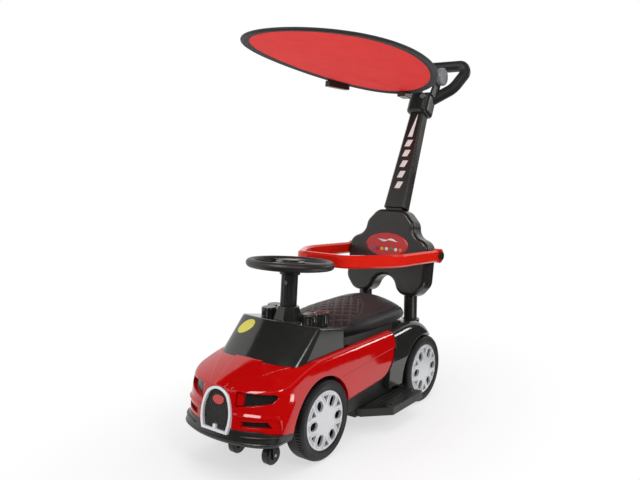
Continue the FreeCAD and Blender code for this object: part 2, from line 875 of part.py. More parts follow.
# Swivel casters under the nose: fork with stem, wheel and pin
caster_z = s.caster_radius
cheek_inner = s.caster_width / 2 + s.soft_gap
cheek_outer = cheek_inner + s.fork_cheek
plate_top = s.floor_z - s.seat_gap
for side, sign in SIDES:
    x, wheel_y = sign * s.caster_x, s.caster_y + s.caster_trail
    pieces = [cylinder(f"{side}_fork_plate", s.fork_plate_radius, s.fork_plate,
                       x, s.caster_y, plate_top - s.fork_plate),
              cylinder(f"{side}_fork_stem", s.caster_stem_radius, s.boss_height + s.fork_plate,
                       x, s.caster_y, plate_top - s.fork_plate)]
    for name, near, far in (("inner", -cheek_outer, -cheek_inner), ("outer", cheek_inner, cheek_outer)):
        pieces.append(box(f"{side}_{name}_cheek",
                          (x + near, wheel_y - s.fork_cheek_half, caster_z - s.fork_cheek_half),
                          (x + far, wheel_y + s.fork_cheek_half, plate_top - s.fork_plate / 2)))
    pieces.append(box(f"{side}_fork_bridge",
                      (x - cheek_outer, s.caster_y - s.fork_cheek_half, plate_top - s.fork_plate),
                      (x + cheek_outer, wheel_y + s.fork_cheek_half, plate_top)))
    hole = cylinder(f"{side}_pin_hole", s.caster_pin_radius, cheek_outer * 2 + s.cut_overrun * 2,
                    x - cheek_outer - s.cut_overrun, wheel_y, caster_z, ALONG_X)
    node(cut(f"{side}_caster_fork", fuse(f"{side}_fork_solid", *pieces), hole), f"{side}_caster_fork")
    pin = cylinder(f"{side}_caster_pin", s.caster_pin_radius, cheek_outer * 2)
    node(pin, f"{side}_caster_pin", x - cheek_outer, wheel_y, caster_z, ALONG_X)
    roller = new_body(f"{side}_caster_wheel")
    rim_low = s.caster_radius - s.caster_edge
    pin_bore = s.caster_pin_radius + s.running_gap
    revolve(roller, [(pin_bore, ZERO), (rim_low, ZERO), (s.caster_radius, s.caster_edge),
                     (s.caster_radius, s.caster_width - s.caster_edge), (rim_low, s.caster_width),
                     (pin_bore, s.caster_width)])
    node(roller, f"{side}_caster_wheel", x - s.caster_width / 2, wheel_y, caster_z, ALONG_X)


# Red body shell: waterlines through the nose and sides, under a crowned hood line
def waterline(z, half, root, tip, inset, rear):
    """A closed outline at one height: an elliptic nose, straight sides and a flat back."""
    half, nose = float(half - inset), float(root - tip - inset)
    root, height, back = float(root), float(z), float(rear)
    ellipse = Part.Ellipse(Vector(0, root, height), half, nose)
    arc = Part.Arc(ellipse, math.pi, 2 * math.pi)
    return closed(arc, segment((half, root, height), (half, back, height)),
                  segment((half, back, height), (-half, back, height)),
                  segment((-half, back, height), (-half, root, height)))


# The hood line falls this share faster ahead of its lip than behind it
NOSE_FALL_SHARE = 1.6


def hood_section(x, drop, inset, rear):
    """A closed side profile: the crowned hood line above a deep base."""
    line = Part.BSplineCurve()
    low_y = s.hood_lip_y - (s.hood_mid_y - s.hood_lip_y)
    low_z = s.hood_lip_z - (s.hood_mid_z - s.hood_lip_z) * NOSE_FALL_SHARE
    stations = [(low_y, low_z), (s.hood_lip_y, s.hood_lip_z), (s.hood_mid_y, s.hood_mid_z),
                (s.hood_end_y, s.hood_end_z), (s.arch_front_y, s.belt_z + s.belt_crown),
                (rear, s.belt_z + s.belt_crown)]
    places = [Vector(x, y, float(z) - float(drop) - float(inset)) for y, z in stations]
    line.interpolate(places[:-1], InitialTangent=places[1] - places[0], FinalTangent=Vector(0, 1, 0))
    last, first = places[-1], places[0]
    base = Vector(0, 0, float(s.lip_low_z) - float(s.cut_overrun))
    low_last, low_first = Vector(last.x, last.y, base.z), Vector(first.x, first.y, base.z)
    return closed(line, Part.LineSegment(places[-2], last), Part.LineSegment(last, low_last),
                  Part.LineSegment(low_last, low_first), Part.LineSegment(low_first, first))


def front_hull(inset, low, rear, round_edges):
    lines = [waterline(low, s.side_low, s.low_root, s.low_tip, inset, rear),
             waterline(s.side_mid_z, s.side_mid, s.mid_root, s.mid_tip, inset, rear),
             waterline(s.side_high_z, s.side_high, s.high_root, s.high_tip, inset, rear)]
    sides = Part.makeLoft(lines, True, False)
    reach = s.side_mid + s.belt_crown
    crown_share = (float(reach) / float(s.side_mid)) ** 2
    drops = (s.belt_crown * crown_share, ZERO, s.belt_crown * crown_share)
    profiles = [hood_section(x, drop, inset, rear) for x, drop in zip((-reach, ZERO, reach), drops)]
    hull = sides.common(Part.makeLoft(profiles, True, False))
    if not round_edges:
        return hull
    top = [edge for edge in hull.Edges if edge.BoundBox.ZMin > float(s.side_mid_z)
           and edge.BoundBox.YMin < float(rear - s.edge_slack)
           and edge.BoundBox.YLength > float(s.hood_edge_round)]
    return hull.makeFillet(float(s.hood_edge_round), top)


def across(points, half):
    """A prism right across the car from an outline of (y, z) points or a face in that plane."""
    face = points if isinstance(points, Part.Face) else polyface([(-half, y, z) for y, z in points])
    return face.extrude(Vector(half * 2, 0, 0))


wide = s.side_mid + s.belt_crown * 2
hull_rear = s.hull_rear_y
outer_hull = front_hull(ZERO, s.skirt_z, hull_rear, True)
raised = []
for low_half, high_half, tiers in ((s.flank_low_half, s.flank_high_half, 1),
                                   (s.spine_low_half, s.spine_high_half, 2)):
    plan = polyface([(-low_half, s.low_tip, s.side_mid_z), (low_half, s.low_tip, s.side_mid_z),
                     (high_half, s.cowl_corner_y, s.side_mid_z), (-high_half, s.cowl_corner_y, s.side_mid_z)])
    tier = front_hull(-s.spine_rise * tiers, s.skirt_z, hull_rear, True)
    raised.append(tier.common(plan.extrude(Vector(0, 0, s.belt_z))))
inner_hull = front_hull(s.shell_wall, s.skirt_z - s.cut_overrun, hull_rear + s.cut_overrun, False)


def well(y, z, radius, inner, outer):
    both = [rod(radius, (sign * inner, y, z), (sign * outer, y, z)) for sign in (1, -1)]
    return both[0].fuse(both[1])


front_well = well(s.arch_front_y, front_axle_z, s.arch_radius, s.well_half, wide)
front_liner = well(s.arch_front_y, front_axle_z, s.arch_radius + s.arch_wall, s.well_half, wide)
door_curve = Part.Arc(Vector(-wide, s.door_top_rear, s.belt_z + s.belt_crown),
                      Vector(-wide, s.door_bulge_y, s.door_bulge_z),
                      Vector(-wide, s.door_low_y, s.door_low_z))
door_front = s.arch_front_y + s.arch_radius
behind = Vector(-wide, hull_rear + s.cut_overrun * 2, s.belt_z + s.belt_crown)
below = Vector(-wide, hull_rear + s.cut_overrun * 2, s.lip_low_z)
sill_front = Vector(-wide, door_front - s.cut_overrun, s.lip_low_z)
sill_high = Vector(-wide, door_front - s.cut_overrun, s.sill_z)
door_cut = Part.Face(closed(door_curve,
                            Part.LineSegment(door_curve.EndPoint, sill_high),
                            Part.LineSegment(sill_high, sill_front),
                            Part.LineSegment(sill_front, below),
                            Part.LineSegment(below, behind),
                            Part.LineSegment(behind, door_curve.StartPoint)))
cowl_gap = s.soft_gap


def screen_outline(z, half, middle_y, corner_y, rear, inset):
    """The cowl's outline at one height: an elliptic front edge and straight sides."""
    half, bow_depth = float(half - inset), float(corner_y - middle_y - inset)
    height, corner = float(z), float(corner_y)
    bow = Part.Arc(Part.Ellipse(Vector(0, corner, height), half, bow_depth), math.pi, 2 * math.pi)
    return closed(bow, segment((half, corner, height), (half, rear, height)),
                  segment((half, rear, height), (-half, rear, height)),
                  segment((-half, rear, height), (-half, corner, height)))


def cowl_hull(inset, low):
    outlines = [screen_outline(s.cowl_base_z, s.cowl_half_low, s.cowl_base_y, s.cowl_corner_y,
                               s.cowl_rear - inset, inset),
                screen_outline(s.cowl_top_z, s.cowl_half_high, s.cowl_top_y, s.cowl_top_corner_y,
                               s.cowl_rear - inset, inset)]
    solid = Part.makeLoft(outlines, True, True)
    over = s.cut_overrun
    front_y = s.cowl_top_y - over * 2
    roof = [(s.cowl_base_y - over, low), (s.cowl_base_y - over, s.shelf_front_z - inset),
            (front_y, s.shelf_front_z - inset), (s.cowl_rear + over, s.shelf_rear_z - inset),
            (s.cowl_rear + over, low)]
    return solid.common(across(roof, s.cowl_half_low + over))


cowl_foot = Part.Face(screen_outline(s.sill_z, s.cowl_half_low, s.cowl_base_y, s.cowl_corner_y, s.cowl_rear,
                                     -cowl_gap))
top_opening = cowl_foot.extrude(Vector(0, 0, s.cowl_base_z - s.sill_z))
top_opening = top_opening.fuse(cowl_hull(-cowl_gap, s.cowl_base_z))
opening_half, opening_rear = s.cowl_half_low + cowl_gap, hull_rear + s.cut_overrun * 2
top_opening = top_opening.fuse(block((-opening_half, s.cowl_rear - s.cut_overrun, s.sill_z),
                                     (opening_half, opening_rear, s.belt_z * 2)))
ahead, beneath = s.low_tip - s.cut_overrun * 2, s.lip_low_z - s.cut_overrun
arch_foot = s.arch_front_y - s.arch_radius
skirt = [(ahead, beneath), (ahead, s.skirt_front_z), (s.skirt_front_y, s.skirt_front_z),
         (s.skirt_corner_y, s.skirt_corner_z), (arch_foot, s.skirt_z), (arch_foot, beneath)]
crease = [(s.crease_front_y, s.crease_front_z), (hull_rear, s.crease_rear_z), (hull_rear, s.lip_low_z),
          (s.crease_front_y, s.lip_low_z)]
door_skin, door_back = [outer_hull.cut(front_hull(depth, s.skirt_z - s.cut_overrun, hull_rear, False))
                        for depth in (s.door_recess, s.door_recess + s.shell_wall)]
crease_prism = across(crease, wide)
higher = crease_prism.copy()
higher.translate(Vector(0, 0, s.shell_wall))
shell = outer_hull.fuse(raised).cut(inner_hull)
shell = shell.fuse(door_back.common(higher)).cut(door_skin.common(crease_prism))
shell = shell.fuse(outer_hull.common(front_liner)).cut(front_well).cut(across(skirt, wide))
shell = shell.cut(across(door_cut, wide)).cut(top_opening)


# Nose pieces: grille, lamps and intakes sit in pockets of the shell
# Where the grille's side turns into its crown, as shares of its half width and height
SHOULDER_SHARES = (0.72, 0.86)


def grille_face(inset, low_inset):
    """The arched grille outline, standing in its own plane."""
    low, middle, top = s.grille_low_half - inset, s.grille_mid_half - inset, s.grille_height - inset
    right = Part.Arc(Vector(low, 0, low_inset), Vector(s.grille_mid_half - inset, 0, s.grille_mid_height),
                     Vector(middle * SHOULDER_SHARES[0], 0, top * SHOULDER_SHARES[1]))
    crown = Part.Arc(right.EndPoint, Vector(0, 0, top), Vector(-right.EndPoint.x, 0, right.EndPoint.z))
    left = Part.Arc(crown.EndPoint, Vector(inset - s.grille_mid_half, 0, s.grille_mid_height),
                    Vector(-low, 0, low_inset))
    return Part.Face(closed(right, crown, left, Part.LineSegment(left.EndPoint, right.StartPoint)))


grille_place = Placement(Vector(0, s.grille_low_y - s.grille_proud, s.grille_low_z),
                         Rotation(X_AXIS, -float(s.grille_tilt)))


def grille_solid(inset, start, depth):
    solid = grille_face(inset, inset).extrude(Vector(0, depth, 0))
    solid.translate(Vector(0, start, 0))
    solid.Placement = grille_place.multiply(solid.Placement)
    return solid


grille_whole = grille_solid(ZERO, ZERO, s.grille_depth)
grille_hole = grille_solid(s.grille_band, -s.cut_overrun, s.grille_depth + s.cut_overrun * 2)
grille_pocket = grille_solid(-s.seat_gap, -s.cut_overrun, s.grille_pocket_depth)
tooth = block((-s.tooth_half, ZERO, ZERO),
              (s.tooth_half, s.mesh_recess - s.seat_gap, s.grille_band + s.tooth_height))
tooth.Placement = grille_place
mesh_plate = grille_solid(s.grille_band + s.seat_gap, s.mesh_recess, s.mesh_depth)


def nose_prism(points):
    """A prism along Y through the nose from an outline of (x, z) points, on both sides."""
    face = polyface([(x, s.low_tip - s.cut_overrun, z) for x, z in points])
    prism = face.extrude(Vector(0, s.high_root - s.low_tip + s.cut_overrun, 0))
    return prism.fuse(mirrored(prism))


def lamp_outline(gap):
    low_end, high_end = s.lamp_low + s.lamp_low_rise - gap, s.lamp_high - s.lamp_high_fall + gap
    return [(s.lamp_inner - gap, s.lamp_low - gap), (s.lamp_outer - s.lamp_slope + gap, low_end),
            (s.lamp_outer + gap, high_end - s.lamp_nick), (s.lamp_outer - s.lamp_nick + gap, high_end),
            (s.lamp_inner - gap, s.lamp_high + gap)]


def intake_outline(gap):
    return [(s.intake_inner - gap, s.intake_low - gap), (s.intake_outer + gap, s.intake_low - gap),
            (s.intake_outer - s.lamp_slope + gap, s.intake_high + gap),
            (s.intake_inner - gap, s.intake_high + gap)]


recessed = front_hull(s.shell_wall + s.lamp_depth, s.skirt_z - s.cut_overrun, hull_rear, False)
lamp_backing = front_hull(s.shell_wall + s.lamp_depth + s.shell_wall, s.skirt_z - s.cut_overrun,
                          hull_rear, False)
insert_skin = recessed.cut(lamp_backing)
for outline in (lamp_outline, intake_outline):
    frame_block = outer_hull.common(nose_prism(outline(s.shell_wall))).cut(recessed)
    shell = shell.fuse(frame_block).cut(nose_prism(outline(ZERO)))
shell = shell.cut(grille_pocket)
feature("body_shell", clean(shell))
feature("headlight_inserts", insert_skin.common(nose_prism(lamp_outline(s.shell_wall))))
feature("intake_inserts", insert_skin.common(nose_prism(intake_outline(s.shell_wall))))
feature("grille_surround", clean(grille_whole.cut(grille_hole).fuse(tooth)))
feature("grille_mesh", mesh_plate)

# Front lip: a black two-step blade under the red nose
lip_rear = s.high_root
lip_lines = [waterline(s.lip_low_z, s.side_low - s.lip_step, s.lip_root, s.lip_tip + s.lip_step, ZERO,
                       lip_rear),
             waterline(s.skirt_z - s.lip_step, s.side_low, s.lip_root, s.lip_tip, ZERO, lip_rear),
             waterline(s.skirt_front_z, s.side_low, s.low_root, s.low_tip, ZERO, lip_rear)]
lip = Part.makeLoft(lip_lines, True, True)
room_rear = lip_rear + s.cut_overrun
lip_inside = [waterline(z, s.side_low, s.low_root, s.low_tip, s.lip_depth, room_rear)
              for z in (s.lip_low_z - s.cut_overrun, s.skirt_front_z + s.cut_overrun)]
lip_room = across([(y, z - s.seat_gap) for y, z in skirt], wide)
lip = lip.common(lip_room).cut(Part.makeLoft(lip_inside, True, True)).cut(front_well)
feature("front_lip", lip.cut(grille_pocket))

# Windscreen cowl: gloss black screen, shelf, dash pods and the faceted boss of the steering column
steer_place = Placement(Vector(0, s.steer_y, s.steer_z), Rotation(X_AXIS, -float(s.steer_tilt)))
column_low = -(s.hub_cup_low + s.flange_thick + s.column_length)
boss_top = column_low - s.seat_gap


def facets(radius, z, count):
    """A regular outline about the steering axis at one height."""
    step = 2 * math.pi / count
    turns = [step * n + step / 2 for n in range(count)]
    corners = [Vector(radius * math.cos(turn), radius * math.sin(turn), z) for turn in turns]
    return Part.makePolygon(corners + corners[:1])


cowl_outer = cowl_hull(ZERO, s.cowl_base_z)
long_edges = [edge for edge in cowl_outer.Edges if edge.BoundBox.ZMin > float(s.shelf_rear_z - s.edge_slack)
              and edge.BoundBox.YMin < float(s.cowl_rear - s.edge_slack)]
cowl_outer = cowl_outer.makeFillet(float(s.cowl_round), long_edges)
cowl = cowl_outer.cut(cowl_hull(s.shell_wall, s.cowl_base_z - s.cut_overrun))
count = SIZES["boss_facets"]
boss = Part.makeLoft([facets(s.boss_top_radius, boss_top, count),
                      facets(s.boss_low_radius, boss_top - s.boss_tall, count)], True, True)
boss.Placement = steer_place
cowl = cowl.fuse(boss)
for sign in (1, -1):
    for pod_x, pod_y in ((s.pod_front_x, s.pod_front_y), (s.pod_rear_x, s.pod_rear_y)):
        pod = rod(s.pod_radius, (sign * pod_x, pod_y, s.shelf_rear_z - s.shell_wall),
                  (sign * pod_x, pod_y, s.pod_top_z))
        rim = [edge for edge in pod.Edges if lies_at(edge, Z_AXIS, s.pod_top_z)]
        cowl = cowl.fuse(pod.makeFillet(float(s.pod_round), rim))
    ear = rod(s.knuckle_radius, (sign * (s.knuckle_half + s.seat_gap), s.hinge_y, s.hinge_z),
              (sign * (s.knuckle_half + s.hinge_ear), s.hinge_y, s.hinge_z))
    ear_ends = (s.knuckle_half + s.seat_gap, s.knuckle_half + s.hinge_ear)
    low, high = sorted(float(sign * end) for end in ear_ends)
    ear = ear.fuse(block((low, s.cowl_rear - s.shell_wall / 2, s.hinge_z - s.knuckle_radius),
                         (high, s.hinge_y, s.hinge_z + s.knuckle_radius)))
    cowl = cowl.fuse(ear)
column_bore = rod(s.shaft_radius + s.running_gap, (0, 0, boss_top + s.cut_overrun),
                  (0, 0, boss_top - s.boss_tall - s.cut_overrun))
column_bore.Placement = steer_place
pin_line = (s.knuckle_half + s.hinge_ear, s.hinge_y, s.hinge_z)
pin_bore = rod(s.hinge_pin_radius, (-pin_line[0], *pin_line[1:]), pin_line)
feature("windscreen_cowl", clean(cowl.cut(column_bore).cut(pin_bore)))


# Rear shell: gloss black deck and wings over the rear wheels, with sockets for the backrest legs
def rear_outline(z, half, inset):
    half, height = half - inset, float(z)
    root, end, front = s.rear_end - s.rear_nose, s.rear_end - inset, s.rear_front + inset
    bow = Part.Arc(Vector(half, root, height), Vector(0, end, height), Vector(-half, root, height))
    return closed(bow, segment((-half, root, height), (-half, front, height)),
                  segment((-half, front, height), (half, front, height)),
                  segment((half, front, height), (half, root, height)))


def rear_hull(inset, low, round_edges):
    outlines = [rear_outline(low, s.side_low, inset), rear_outline(s.side_mid_z, s.side_mid, inset),
                rear_outline(s.rear_deck_z + s.cut_overrun, s.side_mid, inset)]
    solid = Part.makeLoft(outlines, True, True)
    over = s.side_mid + s.cut_overrun
    front = s.rear_front + inset
    stations = [(front, s.rear_brow_z), (s.rear_deck_y, s.rear_deck_z), (s.rear_fall_y, s.rear_fall_z),
                (s.rear_hip_y, s.rear_hip_z), (s.rear_tail_y, s.rear_tail_high),
                (s.rear_end - inset, s.rear_tail_z)]
    places = [Vector(-over, y, z - inset) for y, z in stations]
    line = Part.BSplineCurve()
    line.interpolate(places)
    low_rear, low_front = Vector(-over, places[-1].y, low), Vector(-over, places[0].y, low)
    profile = Part.Face(closed(line, Part.LineSegment(places[-1], low_rear),
                               Part.LineSegment(low_rear, low_front), Part.LineSegment(low_front, places[0])))
    solid = solid.common(profile.extrude(Vector(over * 2, 0, 0)))
    crease = [edge for edge in solid.Edges if edge.BoundBox.YLength > float(s.rear_nose)
              and edge.BoundBox.ZMin > float(s.rear_tail_z - s.rear_round)]
    return solid.makeFillet(float(round_edges), crease)


rear_arch = (rear_axle_y + s.rear_arch_back, rear_axle_z - s.rear_arch_drop)
rear_well = well(*rear_arch, s.rear_arch_radius, s.well_half, wide)
rear_liner = well(*rear_arch, s.rear_arch_radius + s.arch_wall, s.well_half, wide)
rear_outer = rear_hull(ZERO, s.rear_low_z, s.rear_round)
rear = rear_outer.cut(rear_hull(s.shell_wall, s.rear_low_z - s.cut_overrun, s.rear_round - s.shell_wall))
rear = rear.fuse(rear_outer.common(rear_liner)).cut(rear_well)
tub_room = block((-s.tub_narrow - s.soft_gap, s.rear_front - s.cut_overrun, s.rear_low_z - s.cut_overrun),
                 (s.tub_narrow + s.soft_gap, hull_rear + s.cut_overrun * 2,
                  s.floor_z + s.tub_low_height + s.soft_gap))
bay_room = block((-tub_wide - s.soft_gap, s.rear_front - s.cut_overrun, s.rear_low_z - s.cut_overrun),
                 (tub_wide + s.soft_gap, s.bay_rear + s.soft_gap, s.belt_z + s.belt_crown))
door_gap = across(door_cut, wide)
door_gap.translate(Vector(0, s.edge_slack, ZERO))
door_room = block((-wide, s.rear_front - s.cut_overrun, s.rear_low_z - s.cut_overrun),
                  (wide, hull_rear, s.belt_z + s.belt_crown)).cut(door_gap)
rear = rear.cut(tub_room).cut(bay_room).cut(door_room)
back_turn = Rotation(X_AXIS, -float(s.back_lean))
leg_y = s.back_low_y
socket_top = s.rear_top_z + s.socket_wall
for sign in (1, -1):
    rear = rear.fuse(rod(s.leg_radius + s.socket_wall, (sign * s.leg_x, leg_y, s.rear_top_z - s.socket_foot),
                         (sign * s.leg_x, leg_y, socket_top)))
rear = rear.cut(rear_well)
for sign in (1, -1):
    rear = rear.cut(rod(s.leg_radius, (sign * s.leg_x, leg_y, s.rear_top_z - s.socket_depth),
                        (sign * s.leg_x, leg_y, s.rear_deck_z)))
feature("rear_shell", clean(rear))

# Steering wheel, column, cross screw, shaft clip and horn button, about the tilted column axis
rim = doc.addObject("Part::Torus", "rim")
bind(rim, Radius1=s.rim_radius, Radius2=s.rim_tube)
spokes = []
for step in range(SIZES["spoke_count"]):
    spoke = doc.addObject("Part::Box", f"spoke_{step}")
    bind(spoke, Length=s.rim_radius, Width=s.spoke_width, Height=s.spoke_thick)
    turn = Rotation(Z_AXIS, SIZES["spoke_start"] + 360 / SIZES["spoke_count"] * step)
    corner = turn.multVec(Vector(0, -s.spoke_width / 2, -s.spoke_thick / 2))
    spoke.Placement = Placement(corner, turn)
    spokes.append(spoke)
cup = cylinder("hub_cup", s.hub_cup_radius, s.hub_cup_low + s.hub_cup_high, z=-s.hub_cup_low)
flange = cylinder("wheel_flange", s.flange_radius, s.flange_thick, z=-s.hub_cup_low - s.flange_thick)
horn_floor = s.hub_cup_high + s.horn_proud - s.horn_height - s.horn_travel - s.seat_gap
horn_well = cylinder("horn_well", s.horn_radius + s.soft_gap, s.hub_cup_low * 2, z=horn_floor)
steer_seat = dict(y=s.steer_y, z=s.steer_z, turn=steer_place.Rotation)
node(cut("steering_wheel", fuse("wheel_solid", rim, cup, flange, *spokes), horn_well), "steering_wheel",
     **steer_seat)
button = new_body("horn_button")
horn_low = s.hub_cup_high + s.horn_proud - s.horn_height
horn_high = s.hub_cup_high + s.horn_proud
revolve(button, [(ZERO, horn_low), (s.horn_radius, horn_low), (s.horn_radius, horn_high - s.hub_dome),
                 (s.horn_radius - s.hub_dome, horn_high), (ZERO, horn_high)])
node(button, "horn_button", **steer_seat)
column = new_body("column_tube")
column_top = -(s.hub_cup_low + s.flange_thick)
sketch = new_sketch(column, "XY_Plane", column_low)
circle(sketch, ZERO, ZERO, s.column_radius)
pad(column, sketch, s.column_length)
sketch = new_sketch(column, "XY_Plane", column_top)
circle(sketch, s.column_radius + s.flute_radius / 2, ZERO, s.flute_radius)
around(column, pocket(column, sketch), s.flute_count)
sketch = new_sketch(column, "XY_Plane", column_low)
circle(sketch, ZERO, ZERO, s.shaft_radius)
pad(column, sketch, s.shaft_length, reverse=True)
screw_z = column_top - s.screw_drop
screw_turn = Rotation(Z_AXIS, 180 / SIZES["flute_count"]).multiply(Rotation(X_AXIS, 90))
screw_out = screw_turn.multVec(Z_AXIS)
screw_root = s.column_radius - s.screw_head * 3
screw_at = [screw_root * screw_out.x, screw_root * screw_out.y, screw_z]
screw_hole = cylinder("screw_hole", s.screw_radius, s.screw_head * 4, *screw_at, screw_turn)
node(cut("steering_column", column, screw_hole), "steering_column", **steer_seat)
shank = cylinder("screw_shank", s.screw_radius, s.screw_head * 4, *screw_at, screw_turn)
head_root = s.column_radius
head_at = [head_root * screw_out.x, head_root * screw_out.y, screw_z]
head = cylinder("screw_head", s.screw_head_radius, s.screw_head, *head_at, screw_turn)
node(fuse("column_screw", shank, head), "column_screw", **steer_seat)
clip_z = boss_top - s.boss_tall - s.seat_gap - s.clip_thick
clip = ring("shaft_clip", s.shaft_radius, s.clip_radius, s.clip_thick, z=clip_z)
node(clip, "shaft_clip", **steer_seat)

# Seat: a storage lid hinged behind the dash, with a crowned quilted pad on it
lid_low = s.floor_z + s.bay_height + s.seat_gap
lid_high = lid_low + s.seat_base
lid = new_body("lid_plate")
sketch = new_sketch(lid, "XY_Plane", lid_low)
lid_half = tub_wide - s.tub_wall - s.soft_gap
lid_side = [(s.seat_front_half, s.seat_front), (lid_half, s.seat_front + s.seat_front_half / 2),
            (lid_half, s.bay_rear), (s.seat_rear_half, s.seat_rear)]
polygon(sketch, lid_side + [(-x, y) for x, y in reversed(lid_side)])
pad(lid, sketch, s.seat_base)
wall_y = s.seat_front - s.seat_gap
lid_web = box("lid_web", (-s.knuckle_half, wall_y - s.seat_base, lid_low),
              (s.knuckle_half, wall_y, s.hinge_z))
lid_lug = box("lid_lug", (-s.knuckle_half, s.hinge_y, s.hinge_z - s.seat_base),
              (s.knuckle_half, wall_y, s.hinge_z + s.seat_base))
lid_tongue = box("lid_tongue", (-s.knuckle_half, wall_y - s.seat_base, lid_low),
                 (s.knuckle_half, s.seat_front + s.seat_base, lid_high))
knuckle = cylinder("lid_knuckle", s.knuckle_radius, s.knuckle_half * 2,
                   -s.knuckle_half, s.hinge_y, s.hinge_z, ALONG_X)
knuckle_bore = cylinder("lid_bore", s.hinge_pin_radius + s.running_gap, s.knuckle_half * 4,
                        -s.knuckle_half * 2, s.hinge_y, s.hinge_z, ALONG_X)
node(cut("seat_lid", fuse("lid_solid", lid, lid_web, lid_lug, lid_tongue, knuckle), knuckle_bore), "seat_lid")
pin_half = s.knuckle_half + s.hinge_ear
node(cylinder("seat_hinge_pin", s.hinge_pin_radius, pin_half * 2), "seat_hinge_pin",
     -pin_half, s.hinge_y, s.hinge_z, ALONG_X)


def pad_section(y, half, side, crown):
    """One crowned cross-section of the seat pad."""
    low, edge = float(lid_high), float(lid_high + side)
    roof = Part.Arc(Vector(half, y, edge), Vector(0, y, lid_high + crown), Vector(-half, y, edge))
    return closed(roof, segment((-half, y, edge), (-half, y, low)), segment((-half, y, low), (half, y, low)),
                  segment((half, y, low), (half, y, edge)))


# Shares of the pad's length, half width, side height and crown at each station from the front
PAD_SHARES = ((0.0, 0.64, 0.7, 0.86), (0.2, 0.93, 0.95, 1.0), (0.55, 1.0, 1.0, 1.0), (0.8, 0.98, 0.95, 0.96),
              (0.93, 0.86, 0.75, 0.72), (1.0, 0.66, 0.45, 0.41))
pad_lines = []
for length_share, half_share, side_share, crown_share in PAD_SHARES:
    y = s.seat_front + (s.seat_rear - s.seat_front) * length_share
    pad_lines.append(pad_section(y, s.seat_half * half_share, s.seat_side_height * side_share,
                                 s.seat_crown * crown_share))
feature("seat_pad", Part.makeLoft(pad_lines, True, False))


# Backrest: two bell-shaped shells on two legs
def bell(inset):
    right = [(s.lobe_inner + inset, inset), (s.lobe_outer - inset, inset),
             (s.back_half - inset, s.lobe_side_height), (s.back_half - inset, s.back_shoulder_height - inset),
             (s.back_neck_half - inset, s.back_neck_height - inset),
             (s.back_head_half - inset, s.back_head_height - inset),
             (s.back_top_half - inset, s.back_height - inset)]
    left = [(-x, z) for x, z in reversed(right)]
    arch_half, arch_high = s.arch_top_half + inset, s.arch_height + inset
    return right + left + [(-arch_half, arch_high), (arch_half, arch_high)]


back_seat = dict(y=s.back_low_y, z=s.back_low_z, turn=back_turn)
back_place = Placement(Vector(0, s.back_low_y, s.back_low_z), back_turn)
leg_turn = back_turn.inverted()
leg_down = leg_turn.multVec(Vector(0, 0, -s.leg_insert * 2))
leg_tools = []
for sign in (1, -1):
    leg_tools.append(cylinder("leg_room", s.leg_radius, s.leg_insert * 3,
                              sign * s.leg_x, leg_down.y, leg_down.z, leg_turn))
pole_plug_low = s.back_height - s.plug_length


def plug_box(name, gap):
    return box(name, (-s.plug_width / 2 - gap, -s.plug_depth / 2 - gap, pole_plug_low - gap),
               (s.plug_width / 2 + gap, s.plug_depth / 2 + gap, s.back_height + s.cut_overrun))


bolt_line = back_place.inverse().multVec(Vector(0, s.rail_pivot_y, s.rail_pivot_z))
bolt_room = cylinder("rail_bolt_room", s.rail_bolt_radius, s.rail_half * 2, -s.rail_half,
                     bolt_line.y, bolt_line.z, ALONG_X)
for name, depth, front in (("front", s.back_front_depth, True), ("rear", s.back_rear_depth, False)):
    skin = new_body(f"backrest_{name}_skin")
    sketch = new_sketch(skin, "XZ_Plane")
    polygon(sketch, bell(ZERO))
    slab = pad(skin, sketch, depth, reverse=not front)
    rounded = fillet(skin, slab, s.back_corner_round,
                     lambda edge: runs_along(edge, Y_AXIS) and abs(edge.Vertexes[0].Point.x) > 1)
    face_y = -depth if front else depth
    rounded = fillet(skin, rounded, s.back_edge_round, lambda edge: lies_at(edge, Y_AXIS, face_y))
    sketch = new_sketch(skin, "XZ_Plane")
    polygon(sketch, bell(s.back_wall * 2))
    pocket(skin, sketch, reverse=front, length=depth - s.back_wall)
    tools = [*leg_tools, plug_box(f"{name}_plug_room", ZERO)]
    if not front:
        tools.append(bolt_room)
    node(cut(f"backrest_{name}_shell", skin, fuse(f"backrest_{name}_room", *tools)),
         f"backrest_{name}_shell", **back_seat)
leg_low = s.rear_top_z - s.socket_depth
leg_length = s.back_low_z + s.leg_insert - leg_low
legs = [cylinder(f"{side}_leg", s.leg_radius, leg_length, sign * s.leg_x, leg_y, leg_low)
        for side, sign in SIDES]
node(group("backrest_legs", *legs), "backrest_legs")

# Guard rail: one flat red loop on two pivot bolts, which lifts up
rail_bend = Rotation(X_AXIS, -float(s.rail_rise))
half = s.rail_half
rail_points = [(half, ZERO, ZERO), (half, -s.rail_knee, ZERO), (s.rail_front_half, -s.rail_reach, ZERO)]
rail_points += [(-x, y, z) for x, y, z in reversed(rail_points)]
rail_path = rounded_path(rail_points, (s.rail_knee_round, s.rail_front_round, s.rail_front_round,
                                       s.rail_knee_round))
thick, tall = s.rail_thick / 2, s.rail_tall / 2
rail_section = Part.makePolygon([Vector(half + dx, 0, dz) for dx, dz in (
    (thick, s.rail_round - tall), (thick, tall - s.rail_round), (thick - s.rail_round, tall),
    (s.rail_round - thick, tall), (-thick, tall - s.rail_round), (-thick, s.rail_round - tall),
    (s.rail_round - thick, -tall), (thick - s.rail_round, -tall), (thick, s.rail_round - tall))])
rail = swept(rail_path, rail_section)
for sign in (1, -1):
    rail = rail.fuse(rod(s.rail_knuckle_radius, (sign * (half - thick), 0, 0), (sign * (half + thick), 0, 0)))
rail = rail.cut(rod(s.rail_bolt_radius + s.running_gap, (-half * 2, 0, 0), (half * 2, 0, 0)))
